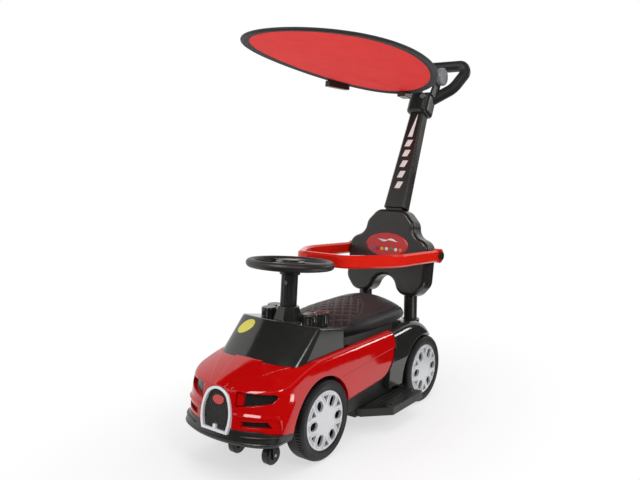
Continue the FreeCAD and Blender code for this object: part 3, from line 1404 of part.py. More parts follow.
rail.Placement = Placement(Vector(0, s.rail_pivot_y, s.rail_pivot_z), rail_bend)
feature("guard_rail", clean(rail))
bolts, caps = [], []
for side, sign in SIDES:
    turn = ALONG_X if sign > 0 else ALONG_MINUS_X
    bolt_root = s.back_half - s.back_wall * 4
    cap_root = half + thick + s.seat_gap
    where = dict(y=s.rail_pivot_y, z=s.rail_pivot_z, turn=turn)
    bolts.append(cylinder(f"{side}_rail_bolt", s.rail_bolt_radius, cap_root - bolt_root,
                          x=sign * bolt_root, **where))
    caps.append(cylinder(f"{side}_rail_cap", s.rail_cap_radius, s.rail_cap_thick, x=sign * cap_root, **where))
node(group("rail_bolts", *bolts), "rail_bolts")
node(group("rail_bolt_caps", *caps), "rail_bolt_caps")

# Push pole: a tapered box section plugged into the top of the backrest
pole_turn = Rotation(X_AXIS, -float(s.pole_lean))
pole_tube = new_body("pole_tube")
loft_sketches = []
for height, width, depth in ((ZERO, s.pole_low_width, s.pole_low_depth),
                             (s.pole_length, s.pole_top_width, s.pole_top_depth)):
    sketch = new_sketch(pole_tube, "XY_Plane", height)
    bevel = s.pole_round
    corner = [(width / 2 - bevel, -depth / 2), (width / 2, bevel - depth / 2),
              (width / 2, depth / 2 - bevel), (width / 2 - bevel, depth / 2)]
    polygon(sketch, corner + [(-x, y) for x, y in reversed(corner)])
    loft_sketches.append(sketch)
taper = pole_tube.newObject("PartDesign::AdditiveLoft", "pole_taper")
taper.Profile = loft_sketches[0]
taper.Sections = loft_sketches[1:]
taper.Ruled = True
placed(pole_tube, y=s.pole_low_y, z=s.pole_low_z, turn=pole_turn)
plug = plug_box("pole_plug", -s.seat_gap)
doc.recompute()
plug_shape = plug.Shape.copy()
plug_shape.Placement = back_place.multiply(plug_shape.Placement)
back_roof = block((-s.back_half, -s.back_half, ZERO), (s.back_half, s.back_half, s.back_height + s.seat_gap))
back_roof.Placement = back_place
pole_above = pole_tube.Shape.cut(back_roof)
feature("push_pole", clean(pole_above.fuse(plug_shape)))

# Collar on the pole's head, its bolt and the handle loop
pole_place = Placement(Vector(0, s.pole_low_y, s.pole_low_z), pole_turn)
collar_low = s.pole_length - s.collar_drop
collar = new_body("collar_block")
sketch = new_sketch(collar, "XY_Plane", collar_low)
corner = [(s.collar_width / 2, -s.collar_depth / 2), (s.collar_width / 2, s.collar_depth / 2)]
polygon(sketch, corner + [(-x, y) for x, y in reversed(corner)])
slab = pad(collar, sketch, s.collar_height)
rounded = fillet(collar, slab, s.collar_round, lambda edge: runs_along(edge, Z_AXIS))
fillet(collar, rounded, s.collar_edge_round, lambda edge: lies_at(edge, Z_AXIS, collar_low))
placed(collar, y=s.pole_low_y, z=s.pole_low_z, turn=pole_turn)
doc.recompute()
loop_side = [Vector(s.handle_root_half, s.handle_root_y, s.handle_root_z),
             Vector(s.handle_bow_half, s.handle_bow_y, s.handle_bow_z),
             Vector(s.handle_knee_half, s.handle_knee_y, s.handle_knee_z),
             Vector(s.handle_grip_half, s.handle_grip_y, s.handle_grip_z)]
loop_points = [tuple(point) for point in loop_side]
loop_points += [(-x, y, z) for x, y, z in reversed(loop_points)]
side_rounds = [s.handle_bow_round, s.handle_knee_round, s.handle_grip_round]
loop_path = rounded_path(loop_points, side_rounds + side_rounds[::-1])
first_run = (loop_side[1] - loop_side[0]).normalize()
loop_section = Part.Wire(Part.makeCircle(float(s.handle_tube), loop_side[0], first_run))
loop = swept(loop_path, loop_section)
bolt_y = -s.collar_depth / 2 - s.collar_bolt_proud
bolt_x, bolt_z = s.collar_width / 4, collar_low + s.collar_height - s.collar_bolt_drop
bolt_seat = -s.collar_depth / 2
bolt = rod(s.collar_bolt_head, (bolt_x, bolt_y, bolt_z), (bolt_x, bolt_seat, bolt_z))
bolt = bolt.fuse(rod(s.collar_bolt_radius, (bolt_x, bolt_seat, bolt_z),
                     (bolt_x, bolt_seat + s.collar_bolt_head, bolt_z)))
bolt.Placement = pole_place
collar_shape = collar.Shape.cut(pole_above).cut(loop).cut(bolt)
feature("handle_collar", collar_shape)
feature("collar_bolt", bolt)
feature("handle_loop", loop)

# Canopy bracket: two ears on the collar, a hinge pin and a round tilt knob
BARREL_SHARE = 0.8
ears = []
barrel_radius = s.bracket_ear_radius * BARREL_SHARE
for sign in (1, -1):
    inner, outer = sign * s.bracket_half, sign * (s.bracket_half + s.bracket_ear)
    foot_front = pole_place.multVec(Vector(0, -s.collar_depth / 3, collar_low + s.collar_height))
    foot_rear = pole_place.multVec(Vector(0, s.collar_depth / 3, collar_low + s.collar_height))
    outline = [(foot_front.y, foot_front.z), (foot_rear.y, foot_rear.z),
               (s.tilt_y + barrel_radius, s.tilt_z), (s.tilt_y - barrel_radius, s.tilt_z)]
    plate = polyface([(inner, y, z) for y, z in outline]).extrude(Vector(outer - inner, 0, 0))
    barrel = rod(s.bracket_ear_radius, (inner, s.tilt_y, s.tilt_z), (outer, s.tilt_y, s.tilt_z))
    ears.append(plate.fuse(barrel))
bracket_base = block((-s.bracket_half, -s.collar_depth / 3, collar_low + s.collar_height),
                     (s.bracket_half, s.collar_depth / 3, collar_low + s.collar_height + s.bracket_ear))
bracket_base.Placement = pole_place
pin_end = s.bracket_half + s.bracket_ear + s.knob_thick / 2
tilt_pin = rod(s.tilt_pin_radius, (-s.bracket_half - s.bracket_ear, s.tilt_y, s.tilt_z),
               (pin_end, s.tilt_y, s.tilt_z))
bracket = ears[0].fuse(ears[1]).fuse(bracket_base)
feature("canopy_bracket", clean(bracket.cut(collar_shape).cut(loop).cut(tilt_pin)))
feature("tilt_pin", tilt_pin)
knob_root = s.bracket_half + s.bracket_ear + s.seat_gap
knob = rod(s.knob_radius, (knob_root, s.tilt_y, s.tilt_z), (knob_root + s.knob_thick, s.tilt_y, s.tilt_z))
knob_rim = [edge for edge in knob.Edges if lies_at(edge, X_AXIS, knob_root + s.knob_thick)]
knob = knob.makeFillet(float(s.knob_thick / 3), knob_rim)
feature("tilt_knob", knob.cut(rod(s.tilt_pin_radius + s.running_gap, (ZERO, s.tilt_y, s.tilt_z),
                                  (pin_end, s.tilt_y, s.tilt_z))))

# Canopy: a saddle-shaped oval of cloth in a bound hoop, on an arm from the tilt pin
canopy_place = Placement(Vector(0, s.canopy_y, s.canopy_z), Rotation(X_AXIS, -float(s.canopy_pitch)))
GRID_STEPS = 8
SADDLE_SHARE = 1.1


def saddle(height):
    """The canopy's curved sheet, a little larger than its outline."""
    reach_x, reach_y = s.canopy_half_width * SADDLE_SHARE, s.canopy_half_length * SADDLE_SHARE
    rows = []
    for i in range(GRID_STEPS + 1):
        u = 2 * i / GRID_STEPS - 1
        row = []
        for j in range(GRID_STEPS + 1):
            v = 2 * j / GRID_STEPS - 1
            lift = s.canopy_saddle * (v * v - u * u)
            row.append(Vector(reach_x * v, reach_y * u, lift + height))
        rows.append(row)
    sheet_surface = Part.BSplineSurface()
    sheet_surface.interpolate(rows)
    return sheet_surface.toShape()


def oval(inset, height):
    """An upright oval prism round the canopy's middle."""
    ellipse = Part.Ellipse(Vector(0, 0, -height), float(s.canopy_half_length - inset),
                           float(s.canopy_half_width - inset))
    prism = Part.Face(Part.Wire(ellipse.toShape())).extrude(Vector(0, 0, height * 2))
    prism.rotate(Vector(0, 0, 0), Z_AXIS, 90)
    return prism


deep = s.canopy_saddle * 4
cloth_slab = saddle(-s.canopy_thick / 2).extrude(Vector(0, 0, s.canopy_thick))
binding_slab = saddle(-s.binding_thick / 2).extrude(Vector(0, 0, s.binding_thick))
cloth = cloth_slab.common(oval(s.binding_width, deep))
binding = binding_slab.common(oval(ZERO, deep).cut(oval(s.binding_width, deep)))
barrel = rod(barrel_radius, (-s.bracket_half + s.seat_gap, s.tilt_y, s.tilt_z),
             (s.bracket_half - s.seat_gap, s.tilt_y, s.tilt_z))
arm_front = canopy_place.multVec(Vector(0, s.canopy_half_length - s.arm_clamp, -s.canopy_saddle))
under = -s.canopy_saddle - s.arm_thick
clamp_tip = canopy_place.multVec(Vector(0, s.canopy_half_length - s.arm_clamp, under))
clamp_heel = canopy_place.multVec(Vector(0, s.canopy_half_length + s.arm_thick / 2, under))
arm_side = [(s.tilt_y, s.tilt_z - s.arm_thick / 2), (s.tilt_y, s.tilt_z + s.arm_thick / 2),
            (arm_front.y, arm_front.z + s.arm_thick), (arm_front.y, arm_front.z - s.arm_thick)]
clamp_side = [(arm_front.y, arm_front.z + s.arm_thick), (clamp_tip.y, clamp_tip.z),
              (clamp_heel.y, clamp_heel.z),
              (clamp_heel.y + s.arm_thick, clamp_heel.z + s.arm_thick * 2)]
arm = across(arm_side, s.arm_half).fuse(across(clamp_side, s.arm_half))
arm = arm.fuse(barrel).cut(rod(s.tilt_pin_radius + s.running_gap, (-half, s.tilt_y, s.tilt_z),
                               (half, s.tilt_y, s.tilt_z)))
for piece in (cloth, binding):
    piece.Placement = canopy_place
clip_turn = math.radians(SIZES["clip_angle"])
clip_x, clip_y = s.canopy_half_width * math.cos(clip_turn), s.canopy_half_length * math.sin(clip_turn)
clip_box = block((clip_x - s.clip_length / 2, clip_y - s.clip_length / 2, -s.clip_tall),
                 (clip_x + s.clip_length / 2, clip_y + s.clip_length / 2, s.canopy_saddle))
clip_shape = clip_box.common(oval(-s.clip_width / 4, deep).cut(oval(s.clip_width, deep)))
clip_shape.Placement = canopy_place
over_band = saddle(-s.binding_thick / 2 - s.seat_gap).extrude(Vector(0, 0, deep))
over_band.Placement = canopy_place
inside_band = oval(-s.seat_gap, deep * 2)
inside_band.Placement = canopy_place.multiply(inside_band.Placement)
feature("canopy_arm", clean(arm.cut(over_band.common(inside_band))))
feature("canopy_binding", binding)
feature("canopy_cloth", cloth)
feature("canopy_hoop_clip", clip_shape.cut(over_band))

doc.recompute()
for obj in doc.Objects:
    if {"Invalid", "Error"} & set(obj.State):
        raise RuntimeError(f"{obj.Label} failed: {obj.State}")
for piece in nodes:
    if piece.Shape.isNull() or not piece.Shape.isValid() or not piece.Shape.Solids:
        raise RuntimeError(f"{piece.Label} has no valid solid")
os.makedirs("parts", exist_ok=True)
for piece in nodes:
    piece.Shape.exportStep(f"parts/{piece.Label}.step")
whole = FreeCAD.BoundBox()
for piece in nodes:
    whole.add(piece.Shape.optimalBoundingBox(False, False))
print(len(nodes), "nodes, box", whole)
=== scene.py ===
import math

import bmesh
import bpy
from mathutils import Matrix, Vector, noise
from mathutils.bvhtree import BVHTree


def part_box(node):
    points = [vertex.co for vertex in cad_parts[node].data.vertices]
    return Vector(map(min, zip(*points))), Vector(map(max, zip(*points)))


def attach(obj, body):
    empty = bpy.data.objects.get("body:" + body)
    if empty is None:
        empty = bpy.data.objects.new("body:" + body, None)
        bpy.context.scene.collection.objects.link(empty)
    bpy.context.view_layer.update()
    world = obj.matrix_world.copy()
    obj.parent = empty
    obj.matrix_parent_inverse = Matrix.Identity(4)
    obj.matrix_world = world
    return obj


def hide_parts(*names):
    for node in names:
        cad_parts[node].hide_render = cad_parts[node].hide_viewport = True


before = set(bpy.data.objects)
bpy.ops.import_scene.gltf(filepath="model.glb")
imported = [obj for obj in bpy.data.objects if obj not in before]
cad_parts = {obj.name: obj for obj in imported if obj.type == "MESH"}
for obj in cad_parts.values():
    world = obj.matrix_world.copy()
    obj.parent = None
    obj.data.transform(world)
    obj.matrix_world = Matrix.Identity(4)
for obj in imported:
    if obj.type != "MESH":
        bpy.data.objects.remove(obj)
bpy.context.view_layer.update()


# Chassis: the black floor tub, the front lip, the footrests and their tray. They are injection-moulded
# polypropylene, screwed together from below. All but the lip have the fine spark-eroded grain of the tool.
DARK, PALE, TONE = 6, 7, 2  # the colour sockets of a Mix node: two go in and one comes out
FLOW_MM, HAZE_MM, PEEL_MM = 110, 35, 14  # how wide the marks of the melt, the polish and the waviness are


def srgb(code):
    """An sRGB hex colour as linear RGBA."""
    parts = [int(code[i:i + 2], 16) / 255 for i in (0, 2, 4)]
    return tuple(c / 12.92 if c <= 0.04045 else ((c + 0.055) / 1.055) ** 2.4 for c in parts) + (1.0,)


def add(tree, kind, feeds=None, **settings):
    """One shader node with its settings. A feed is a value, a socket, or a node for its first output."""
    made = tree.nodes.new("ShaderNode" + kind)
    for name, value in settings.items():
        setattr(made, name, value)
    for socket, value in (feeds or {}).items():
        if isinstance(value, bpy.types.Node):
            value = value.outputs[0]
        if isinstance(value, bpy.types.NodeSocket):
            tree.links.new(value, made.inputs[socket])
        else:
            made.inputs[socket].default_value = value
    return made


def new_finish(name):
    """An empty material, its node tree, and the place on the object that its patterns follow."""
    material = bpy.data.materials.new(name)
    material.use_nodes = True
    tree = material.node_tree
    tree.nodes.clear()
    return material, tree, add(tree, "TexCoord").outputs["Object"]


def moulded(name, dark, pale, rough, grain_mm, depth_mm, ior=1.5, peel_mm=0.0, edge_mm=0.8):
    """Moulded plastic: slow tones where the melt flowed, tool grain, waviness, and round edges."""
    material, tree, place = new_finish(name)
    flow = add(tree, "TexNoise", {"Vector": place, "Scale": 1000 / FLOW_MM, "Detail": 3.0})
    tone = add(tree, "Mix", {"Factor": flow.outputs["Fac"], DARK: srgb(dark), PALE: srgb(pale)},
               data_type="RGBA")
    cloud = add(tree, "TexNoise", {"Vector": place, "Scale": 1000 / HAZE_MM, "Detail": 4.0})
    polish = add(tree, "MapRange", {"Value": cloud.outputs["Fac"], "From Min": 0.3, "From Max": 0.7,
                                    "To Min": rough * 0.82, "To Max": rough * 1.2})
    edge = add(tree, "Bevel", {"Radius": edge_mm / 1000}, samples=4)
    grain = add(tree, "TexNoise", {"Vector": place, "Scale": 1000 / grain_mm})
    relief = add(tree, "Bump", {"Height": grain.outputs["Fac"], "Distance": depth_mm / 1000, "Normal": edge})
    if peel_mm:
        peel = add(tree, "TexNoise", {"Vector": place, "Scale": 1000 / PEEL_MM, "Detail": 1.0})
        relief = add(tree, "Bump", {"Height": peel.outputs["Fac"], "Distance": peel_mm / 1000,
                                    "Normal": relief})
    shader = add(tree, "BsdfPrincipled", {"Base Color": tone.outputs[TONE], "Roughness": polish,
                                          "IOR": ior, "Normal": relief})
    add(tree, "OutputMaterial", {"Surface": shader})
    return material


def dress(finish, *names):
    """Give CAD nodes a finish."""
    for name in names:
        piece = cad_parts[name]
        if not piece.material_slots:
            piece.data.materials.append(finish)
        for held in piece.material_slots:
            held.material = finish


# Spark-eroded black PP: satin, its grain breaks up highlights. The real grain is 0.3 mm wide and is drawn
# 1.6 mm wide to show.
grained_pp = moulded("black_pp_spark_eroded", "1B1A19", "262523", 0.42, 1.6, 0.05)
dress(grained_pp, "chassis_tub", "footrest_tray", "left_footrest", "right_footrest", "wheel_spacers")
# Polished black PP: the lip is smoother than the floor, with a soft broad highlight.
smooth_pp = moulded("black_pp_polished", "1F1E1C", "292825", 0.27, 2.2, 0.012, peel_mm=0.03, edge_mm=1.6)
dress(smooth_pp, "front_lip")


# Axles, pins, screws and clips: mild steel wire and sheet, cut, headed and zinc plated. They hold the wheels,
# the column, the rail and the canopy.
SPANGLE_MM, PLATE_HAZE_MM, PLATE_DEPTH_MM = 2.0, 6, 0.04


def plated(name, dark, pale, rough):
    """Zinc plate: grey metal whose crystals, the spangles, each catch the light a little differently."""
    material, tree, place = new_finish(name)
    spangle = add(tree, "TexVoronoi", {"Vector": place, "Scale": 1000 / SPANGLE_MM})
    tone = add(tree, "Mix", {"Factor": spangle.outputs["Color"], DARK: srgb(dark), PALE: srgb(pale)},
               data_type="RGBA")
    haze = add(tree, "TexNoise", {"Vector": place, "Scale": 1000 / PLATE_HAZE_MM, "Detail": 3.0})
    polish = add(tree, "MapRange", {"Value": haze.outputs["Fac"], "To Min": rough * 0.6,
                                    "To Max": rough * 1.4})
    relief = add(tree, "Bump", {"Height": haze.outputs["Fac"], "Distance": PLATE_DEPTH_MM / 1000})
    shader = add(tree, "BsdfPrincipled", {"Base Color": tone.outputs[TONE], "Metallic": 1.0,
                                          "Roughness": polish, "Normal": relief})
    add(tree, "OutputMaterial", {"Surface": shader})
    return material


# Zinc plate on mild steel: pale grey metal, half bright, a little uneven.
zinc = plated("steel_zinc_plated", "9EA1A6", "CBCDD0", 0.34)
dress(zinc, "front_axle", "rear_axle", "axle_push_nuts", "floor_screws", "column_screw", "shaft_clip",
      "left_caster_pin", "right_caster_pin", "seat_hinge_pin", "rail_bolts", "collar_bolt", "tilt_pin")


# Road wheels: each is a blow-moulded black tyre body with tread blocks cut into its shoulders, and a silver
# painted hub cap pressed into its face. They turn on the plain steel axles.
def new_piece(name, points, faces):
    """A new mesh object."""
    mesh = bpy.data.meshes.new(name)
    mesh.from_pydata(points, [], faces)
    piece = bpy.data.objects.new(name, mesh)
    bpy.context.collection.objects.link(piece)
    return piece


def skin(name, rows, ring_rows=False, ring_columns=False):
    """A new mesh object over a grid of points, closed along its rows or columns where it is a ring."""
    count, width = len(rows), len(rows[0])
    faces = []
    for i in range(count if ring_rows else count - 1):
        for j in range(width if ring_columns else width - 1):
            below, right = (i + 1) % count, (j + 1) % width
            faces.append((i * width + j, i * width + right, below * width + right, below * width + j))
    return new_piece(name, [point for row in rows for point in row], faces)


def reworked(piece, change):
    """Change a piece's mesh by a function that works on its points, edges and faces."""
    work = bmesh.new()
    work.from_mesh(piece.data)
    change(work)
    work.to_mesh(piece.data)
    work.free()


SAME_POINT = 1e-6  # metres


def face_outward(work):
    """Join the points that lie on each other and turn the faces outward."""
    bmesh.ops.remove_doubles(work, verts=work.verts, dist=SAME_POINT)
    bmesh.ops.recalc_face_normals(work, faces=work.faces)


def settle(piece, finish, sharp_deg):
    """Turn the faces outward, shade them smooth up to an angle, and give the piece its finish."""
    reworked(piece, face_outward)
    piece.data.shade_smooth()
    piece.data.set_sharp_from_angle(angle=math.radians(sharp_deg))
    piece.data.materials.append(finish)
    return piece


TREAD_BLOCKS = 76
# The corners of a tread block and of the gap after it, as shares of their pitch, and which of them are cut
BLOCK_SHARES, BLOCK_CUTS = (0.0, 0.60, 0.68, 0.92), (0, 0, 1, 1)
# The section of the wheel: radius, depth from its inner face, and how deep the tread is cut there, all in mm
TYRE_SECTION = ((15, 3, 0), (15, 10, 0), (57.8, 10, 0), (57.8, 0.4, 0), (62, 0, 0), (74, 0.2, 0),
                (77, 2.0, 0.6), (78.8, 4.2, 1.7), (79.7, 7, 1.7), (80, 9.5, 1.6), (80, 12.5, 1.6),
                (80, 13, 0), (80, 16, 0), (78.9, 16.6, 0), (78.9, 18.4, 0), (80, 19, 0), (80, 23, 0),
                (78.9, 23.6, 0), (78.9, 25.4, 0), (80, 26, 0), (80, 29, 0), (80, 29.5, 1.6), (80, 32.5, 1.6),
                (79.7, 35, 1.7), (78.8, 37.8, 1.7), (77, 40, 0.6), (74, 41.6, 0), (72.5, 41.9, 0),
                (71.6, 41.2, 0), (70.6, 41.2, 0), (69.8, 41.8, 0), (66, 41.4, 0), (61.2, 40.4, 0),
                (60.2, 39.6, 0), (58.2, 39.4, 0), (58.05, 38, 0), (58.05, 31.2, 0), (54, 31.0, 0),
                (53.4, 30, 0), (53.4, 12.6, 0), (15, 12.6, 0))
# Blow-moulded matt black: a dull, slightly dusty skin with a broad weak highlight.
tyre_skin = moulded("black_pe_blow_moulded", "0C0C0C", "161616", 0.5, 2.4, 0.04)
for end in ("front", "rear"):
    for side, outward in (("left", 1), ("right", -1)):
        node_name = f"{end}_{side}_tyre"
        low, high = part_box(node_name)
        centre = (low + high) / 2
        inner_x = low.x if outward > 0 else high.x
        rings = []
        for block in range(TREAD_BLOCKS):
            for share, cut in zip(BLOCK_SHARES, BLOCK_CUTS):
                turn = 2 * math.pi * (block + share) / TREAD_BLOCKS
                ring = []
                for radius, depth, notch in TYRE_SECTION:
                    reach = (radius - notch * cut) / 1000
                    ring.append((inner_x + outward * depth / 1000, centre.y + reach * math.cos(turn),
                                 centre.z + reach * math.sin(turn)))
                rings.append(ring)
        tyre = settle(skin(f"{node_name}_moulded", rings, True, True), tyre_skin, 30)
        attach(tyre, f"{end}_{side}_wheel")
        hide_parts(node_name)


FLAKE_DEPTH_MM, FILM_MM, PAINT_EDGE_MM = 0.03, 18, 0.8


def painted(name, dark, pale, rough, flake_mm):
    """Metallic paint on plastic: fine flakes that sparkle under a thin clear film."""
    material, tree, place = new_finish(name)
    flake = add(tree, "TexVoronoi", {"Vector": place, "Scale": 1000 / flake_mm})
    tone = add(tree, "Mix", {"Factor": flake.outputs["Color"], DARK: srgb(dark), PALE: srgb(pale)},
               data_type="RGBA")
    edge = add(tree, "Bevel", {"Radius": PAINT_EDGE_MM / 1000}, samples=4)
    relief = add(tree, "Bump", {"Height": flake.outputs["Distance"], "Distance": FLAKE_DEPTH_MM / 1000,
                                "Strength": 0.7, "Normal": edge})
    film = add(tree, "TexNoise", {"Vector": place, "Scale": 1000 / FILM_MM, "Detail": 3.0})
    polish = add(tree, "MapRange", {"Value": film.outputs["Fac"], "To Min": rough * 0.8,
                                    "To Max": rough * 1.25})
    shader = add(tree, "BsdfPrincipled", {"Base Color": tone.outputs[TONE], "Metallic": 0.35,
                                          "Roughness": polish, "IOR": 1.5, "Normal": relief})
    add(tree, "OutputMaterial", {"Surface": shader})
    return material


# Silver paint on ABS: pale grey, partly metallic, its flakes drawn 1.2 mm wide to show.
silver_paint = painted("abs_silver_painted", "CFD1D4", "E6E7EA", 0.36, 1.2)
dress(silver_paint, "front_left_hub_cap", "front_right_hub_cap", "rear_left_hub_cap", "rear_right_hub_cap")


# Casters: a fork of moulded polypropylene whose stem turns in the floor, and a nylon roller on a steel pin
# pressed through the fork. Two of them stand under the nose and carry it.
dress(grained_pp, "left_caster_fork", "right_caster_fork")
# Roller nylon: smoother than the fork, a small clear highlight.
roller_nylon = moulded("black_nylon_moulded", "0E0E0E", "181818", 0.33, 1.2, 0.02, ior=1.53)
dress(roller_nylon, "left_caster_wheel", "right_caster_wheel")

# Body shell: hood, nose, wings and doors in one moulding of self-coloured red ABS from a polished tool,
# screwed down on the tub. High gloss with a faint waviness.
red_gloss = moulded("red_abs_polished", "B60506", "C40809", 0.07, 30, 0.004, ior=1.52, peel_mm=0.03,
                    edge_mm=2.2)
dress(red_gloss, "body_shell")

# Grille, lamps and intakes: a bright painted arch round a black mesh plate, and black inserts behind the lamp
# and intake openings, all clipped in from behind. The mesh has crossing ribs and a plain oval plaque, both
# moulded on it.
# Bright silver paint on ABS: nearly white, partly metallic and glossy, so that it stays pale from every side.
bright_paint = painted("abs_bright_silver_painted", "DCDDE0", "F0F1F3", 0.2, 1.0)
dress(bright_paint, "grille_surround")
dress(smooth_pp, "headlight_inserts", "intake_inserts")
dress(grained_pp, "grille_mesh")
MIDDLE_Y = 64.25  # the pack's frame is centred on the whole object, and the car's sizes on its wheelbase


def car(x, y, z):
    """A point given in mm from the middle of the wheelbase, as metres in the frame."""
    return Vector((x, y - MIDDLE_Y, z)) / 1000


def strips(name, runs, section):
    """One mesh of many bars. A run lists places, each with its across and up directions and a scale."""
    points, faces = [], []
    for run in runs:
        first, wide = len(points), len(section)
        for place, across, up, grow in run:
            points += [place + across * (a * grow / 1000) + up * (u * grow / 1000) for a, u in section]
        for i in range(len(run) - 1):
            for j in range(wide):
                here, there = first + i * wide, first + (i + 1) * wide
                right = (j + 1) % wide
                faces.append((here + j, here + right, there + right, there + j))
        faces += [tuple(first + j for j in range(wide)), tuple(len(points) - 1 - j for j in range(wide))]
    return new_piece(name, points, faces)


def lines_inside(corners, pitch, slant):
    """The slanted lines of a lattice, cut off at the edge of a convex outline."""
    along = Vector((math.sin(slant), math.cos(slant)))
    across = Vector((along.y, -along.x))
    offsets = [corner.dot(across) for corner in corners]
    cuts = []
    for n in range(math.ceil(min(offsets) / pitch), math.floor(max(offsets) / pitch) + 1):
        reach = []
        for a, b in zip(corners, corners[1:] + corners[:1]):
            rise, fall = a.dot(across) - n * pitch, b.dot(across) - n * pitch
            if (rise < 0) != (fall < 0):
                reach.append(a.lerp(b, rise / (rise - fall)).dot(along))
        if len(reach) == 2 and abs(reach[1] - reach[0]) > pitch:
            cuts.append([across * (n * pitch) + along * r for r in sorted(reach)])
    return cuts


GRILLE_Y, GRILLE_FOOT, GRILLE_LEAN_DEG = -382, 92.5, -9.5
GRILLE_PLACE = (Matrix.Translation(car(0, GRILLE_Y, GRILLE_FOOT))
                @ Matrix.Rotation(math.radians(GRILLE_LEAN_DEG), 4, "X"))
MESH_DEPTH, MESH_SLACK, RIB_PITCH, RIB_SLANT_DEG = 6.0, 0.5, 5.2, 38.0
RIB_SECTION = ((-0.75, -0.2), (0.75, -0.2), (0.5, 1.1), (-0.5, 1.1))
to_plate = GRILLE_PLACE.inverted()
face_points = [to_plate @ vertex.co * 1000 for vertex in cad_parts["grille_mesh"].data.vertices]
front = [Vector((point.x, point.z)) for point in face_points if point.y < MESH_DEPTH + MESH_SLACK]
middle = sum(front, Vector((0, 0))) / len(front)
corners = sorted(front, key=lambda point: math.atan2(point.y - middle.y, point.x - middle.x))
turned = GRILLE_PLACE.to_3x3()
ahead_of_mesh = turned @ Vector((0, -1, 0))
ribs = []
for slant in (RIB_SLANT_DEG, -RIB_SLANT_DEG):
    for ends in lines_inside(corners, RIB_PITCH, math.radians(slant)):
        run = (ends[1] - ends[0]).normalized()
        side = turned @ Vector((run.y, 0, -run.x))
        ribs.append([(GRILLE_PLACE @ (Vector((end.x, MESH_DEPTH, end.y)) / 1000), side, ahead_of_mesh, 1.0)
                     for end in ends])
# Ribs of black PP: the tool's ribs are polished, so that they shine against the grained plate.
rib_pp = moulded("black_pp_rib_polished", "2A2A28", "353533", 0.2, 2.2, 0.01)
lattice = settle(strips("grille_mesh_ribs", ribs, RIB_SECTION), rib_pp, 30)
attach(lattice, "chassis")


def surface(name):
    """The surface of a CAD node, for laying thin pieces on it."""
    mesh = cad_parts[name].data
    return BVHTree.FromPolygons([v.co for v in mesh.vertices], [tuple(p.vertices) for p in mesh.polygons])


# How far out a laying ray starts in metres, the share of a ring left open in the middle, and how deep a laid
# piece reaches below the surface
RAY_START, PINHOLE, SINK_MM = 0.03, 0.01, 0.2


def thicken(piece, thick_mm, offset):
    """Give a sheet its thickness: inward for -1, outward for 1, half to each side for 0."""
    depth = piece.modifiers.new("thickness", "SOLIDIFY")
    depth.thickness, depth.offset = thick_mm / 1000, offset


def laid(name, under, centre, facing, outline, lift_mm, finish, rings=10):
    """A thin sticker or plate with an outline in mm, laid along a surface at a place, a little sunk in it."""
    outward = Vector(facing).normalized()
    right = Vector((0, 0, 1)).cross(outward).normalized()
    up = outward.cross(right)
    rows = []
    for i in range(rings + 1):
        row = []
        for u, v in outline:
            share = (i + PINHOLE) / (rings + PINHOLE)
            start = centre + (right * u + up * v) * (share / 1000) + outward * RAY_START
            row.append(under.ray_cast(start, -outward)[0] + outward * (lift_mm / 1000))
        rows.append(row)
    piece = skin(name, rows, False, True)
    settle(piece, finish, 40)
    thicken(piece, lift_mm + SINK_MM, -1.0)
    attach(piece, "chassis")


def oval(wide, high, count=48):
    """Points round an ellipse of a width and a height."""
    return [(wide / 2 * math.cos(2 * math.pi * k / count), high / 2 * math.sin(2 * math.pi * k / count))
            for k in range(count)]


# Plaque: red ABS, plain and bare, satin from its polished tool.
plaque_red = moulded("red_abs_satin", "C23A34", "CE4640", 0.25, 4, 0.01)
PLAQUE_HEIGHT, PLAQUE_WIDE, PLAQUE_HIGH, PLAQUE_THICK = 57.5, 28, 17, 2.0
plaque_centre = GRILLE_PLACE @ (Vector((0, MESH_DEPTH, PLAQUE_HEIGHT)) / 1000)
laid("grille_plaque", surface("grille_mesh"), plaque_centre, ahead_of_mesh, oval(PLAQUE_WIDE, PLAQUE_HIGH),
     PLAQUE_THICK, plaque_red)

# Lamp ramps: the polished red ABS of the shell runs down to the black insert at the inner end of each lamp,
# in one moulding with the nose.
RAMP_IN, RAMP_OUT, RAMP_LOW, RAMP_HIGH, RAMP_STEPS = 40.6, 53.0, 143.2, 168.4, 8
RAMP_DEPTH, RAMP_POWER, RAMP_LIFT, RAMP_THICK = 4.6, 1.5, 0.15, 0.6
AHEAD_OF_NOSE = -460
lamp_surface = surface("headlight_inserts")
for side, outward in (("left", 1), ("right", -1)):
    rows = []
    for i in range(RAMP_STEPS + 1):
        share = i / RAMP_STEPS
        row = []
        for j in range(RAMP_STEPS + 1):
            x = outward * (RAMP_IN + (RAMP_OUT - RAMP_IN) * share)
            z = RAMP_LOW + (RAMP_HIGH - RAMP_LOW) * j / RAMP_STEPS
            spot = lamp_surface.ray_cast(car(x, AHEAD_OF_NOSE, z), Vector((0, 1, 0)))[0]
            if spot is None:
                spot = row[-1] + Vector((0, 0, (RAMP_HIGH - RAMP_LOW) / RAMP_STEPS / 1000))
            else:
                spot = spot - Vector((0, (RAMP_DEPTH * (1 - share) ** RAMP_POWER + RAMP_LIFT) / 1000, 0))
            row.append(spot)
        rows.append(row)
    ramp = settle(skin(f"lamp_ramp_{side}", rows), red_gloss, 60)
    thicken(ramp, RAMP_THICK, 1.0)
    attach(ramp, "chassis")

